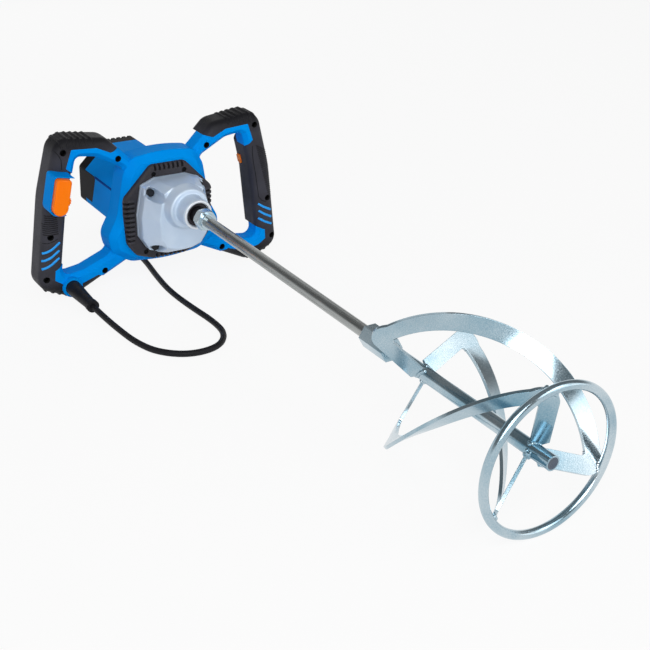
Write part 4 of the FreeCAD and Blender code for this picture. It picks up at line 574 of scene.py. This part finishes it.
def lathe(name, settings, materials, body, closed):  # rings of (radius, y) round each (x, z)
    count = settings["count"]
    angles = [2 * math.pi * k / count for k in range(count)]
    mesh = bmesh.new()
    for x, z in settings["spots"]:
        loops = []
        for r, y in settings["rings"]:
            loops.append([mesh.verts.new(place(x + r * math.cos(a), y, z + r * math.sin(a))) for a in angles])
        nextLoops = loops[1:] + loops[:1] if closed else loops[1:]
        for outer, inner in zip(loops, nextLoops):
            for k in range(count):
                mesh.faces.new((outer[k - 1], outer[k], inner[k], inner[k - 1]))
        if not closed:  # the last ring is filled with the second material
            mesh.faces.new(loops[-1]).material_index = 1
    bmesh.ops.recalc_face_normals(mesh, faces=mesh.faces)
    data = bpy.data.meshes.new(name)
    mesh.to_mesh(data)
    mesh.free()
    data.shade_smooth()
    for material in materials:
        data.materials.append(material)
    piece = link(name, data)
    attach(piece, body)
    print(name, "faces", len(data.polygons))


mouthSettings = dict(spots=[(0, 0)], count=48,
                     rings=[(6.6, -587.05), (6.2, -587.35), (5.7, -587.3), (5.4, -587.06)])
# the tube's end is closed with a dark disc, painted shade of the open bore
lathe("tube_mouth", mouthSettings, [finishes["zinc_steel"], boreShadeSteel], "spindle", False)
lipSettings = dict(spots=[(0, 0)], count=96,
                   rings=[(17.3, 0.9), (17.2, 0.0), (16.6, -0.6), (15.4, -0.9), (14.5, -0.6), (14.0, 0.0),
                          (14.0, 0.9)])
# the lip takes the pale casting colour as a painted highlight
lathe("nose_lip", lipSettings, [lipHighlightMetal], "housing", True)
screwHoles = [(122.6, 64.6), (143.0, -32.9), (150.7, -84.5), (57.0, 48.3), (78.7, -86.9)]
# near-black sleeves lining the handles' screw holes: painted shade inside the holes
wellSettings = dict(spots=[(hand * x, z) for hand in (1, -1) for x, z in screwHoles], count=32,
                    rings=[(3.72, 87.5), (3.45, 87.5), (3.45, 97.8), (3.72, 97.8)])
lathe("screw_wells", wellSettings, [blackAndPaintedShade], "housing", True)

weldSettings = dict(radius=1.7, least=0.6, most=1.4, step=1.7, apart=0.7, tube=6.75, ringRadius=66.0, wire=4.0,
                    ringY=-583.0, reach=0.6, seed=5, collarY=-374.0, collarRadius=7.2, collarCount=24)


def weldPlaces(name):  # along the edges of a band that lie on the tube or the ring
    w = weldSettings
    mesh = nodes[name].data
    dots, near, kept = [], [], []
    for v in mesh.vertices:
        local = (v.co - toolOrigin) / mm
        y = local.dot(back)
        r = (local - back * y).length
        atRing = math.hypot(r - w["ringRadius"], y - w["ringY"]) < w["wire"] + w["reach"]
        near.append(r < w["tube"] + w["reach"] or atRing)
    for e in mesh.edges:
        a, b = e.vertices
        if near[a] and near[b]:
            first, second = mesh.vertices[a].co, mesh.vertices[b].co
            count = max(1, round((second - first).length / mm / w["step"]))
            dots += [first.lerp(second, k / count) for k in range(count)]
    for dot in dots:
        if all((dot - other).length > w["apart"] * w["step"] * mm for other in kept):
            kept.append(dot)
    return kept


def collarPlaces():  # a ring of drops behind the coupling
    w = weldSettings
    angles = [2 * math.pi * k / w["collarCount"] for k in range(w["collarCount"])]
    return [place(w["collarRadius"] * math.cos(a), w["collarY"], w["collarRadius"] * math.sin(a)) for a in angles]


welds = []
for k in (1, 2, 3):
    welds += weldPlaces("mixing_band_%d" % k)
welds += collarPlaces()
grow("weld_beads", [[dot] for dot in welds], dropGrower(),
     {"Radius": weldSettings["radius"] * mm, "Least": weldSettings["least"], "Most": weldSettings["most"],
      "Seed": weldSettings["seed"], "Material": finishes["zinc_steel"]}, "spindle")

floorSettings = dict(size=40.0, drop=0.0005, paint=0.86, roughness=0.9, glow=0.9)


def makeFloor():
    f = Finish("floor_paint")
    half = floorSettings["size"] / 2
    mesh = bpy.data.meshes.new("floor")
    corners = [(-half, -half), (half, -half), (half, half), (-half, half)]
    mesh.from_pydata([(x, y, -floorSettings["drop"]) for x, y in corners], [], [(0, 1, 2, 3)])
    floor = link("floor", mesh)
    pale = floorSettings["paint"]
    f.set({"Base Color": (pale, pale, pale, 1), "Roughness": floorSettings["roughness"]})
    seen, glossy, passed = [f.add("ShaderNodeLightPath", {}, {}, "Is %s Ray" % kind)
                            for kind in ("Camera", "Glossy", "Transmission")]
    white = f.add("ShaderNodeEmission", {}, {"Color": (1, 1, 1, 1), "Strength": 1.0})
    paint = Wire(f, f.shader.outputs[0])
    blend = f.add("ShaderNodeMixShader", {},
                  {0: (seen + glossy + passed) * floorSettings["glow"], 1: paint, 2: white})
    f.feed(f.tree.nodes["Material Output"].inputs["Surface"], blend)
    mesh.materials.append(f.material)


# each band of the sky: heights where it starts and ends, and its light at both
worldSettings = dict(low=(0.08, 0.4, 1.0, 0.22), high=(0.7, 1.0, 0.0, 0.06))


def makeWorld():  # white at the horizon, grey above it, a little paler at the top
    world = bpy.data.worlds.new("studio")
    world.use_nodes = True
    scene.world = world
    w = Maker(world.node_tree)
    compass = w.add("ShaderNodeTexCoord", {}, {}, "Generated")
    height = w.add("ShaderNodeSeparateXYZ", {}, {0: compass}, "Z")
    bands = []
    for start, stop, startLight, stopLight in worldSettings.values():
        bands.append(w.add("ShaderNodeMapRange", {"interpolation_type": "SMOOTHSTEP"},
                           {"Value": height, "From Min": start, "From Max": stop, "To Min": startLight,
                            "To Max": stopLight}))
    backdrop = world.node_tree.nodes["Background"]
    backdrop.inputs["Color"].default_value = (1, 1, 1, 1)
    w.feed(backdrop.inputs["Strength"], bands[0] + bands[1])


lamps = [dict(name="key_lamp", at=(-1.2, -2.0, 1.6), size=1.7, power=43.0),
         dict(name="fill_lamp", at=(1.1, -2.0, 1.6), size=1.3, power=11.0),
         dict(name="card_lamp", at=(1.52, -1.76, 1.23), size=1.3, tall=2.1, power=9.0, gleamOnly=True),
         dict(name="rear_lamp", at=(0.7, 2.2, 1.1), size=1.6, power=5.0)]
lampAim = Vector((0, 0, 0.1))


def makeLamp(settings):
    data = bpy.data.lights.new(settings["name"], "AREA")
    data.shape = "RECTANGLE"
    data.size = settings["size"]
    data.size_y = settings.get("tall", settings["size"])
    data.energy = settings["power"]
    lamp = link(settings["name"], data)
    lamp.location = settings["at"]
    lamp.visible_diffuse = not settings.get("gleamOnly", False)  # a card that only metal shows
    lamp.rotation_euler = (lampAim - lamp.location).to_track_quat("-Z", "Y").to_euler()


makeFloor()
makeWorld()
for settings in lamps:
    makeLamp(settings)
print("stage set")

bpy.context.view_layer.update()
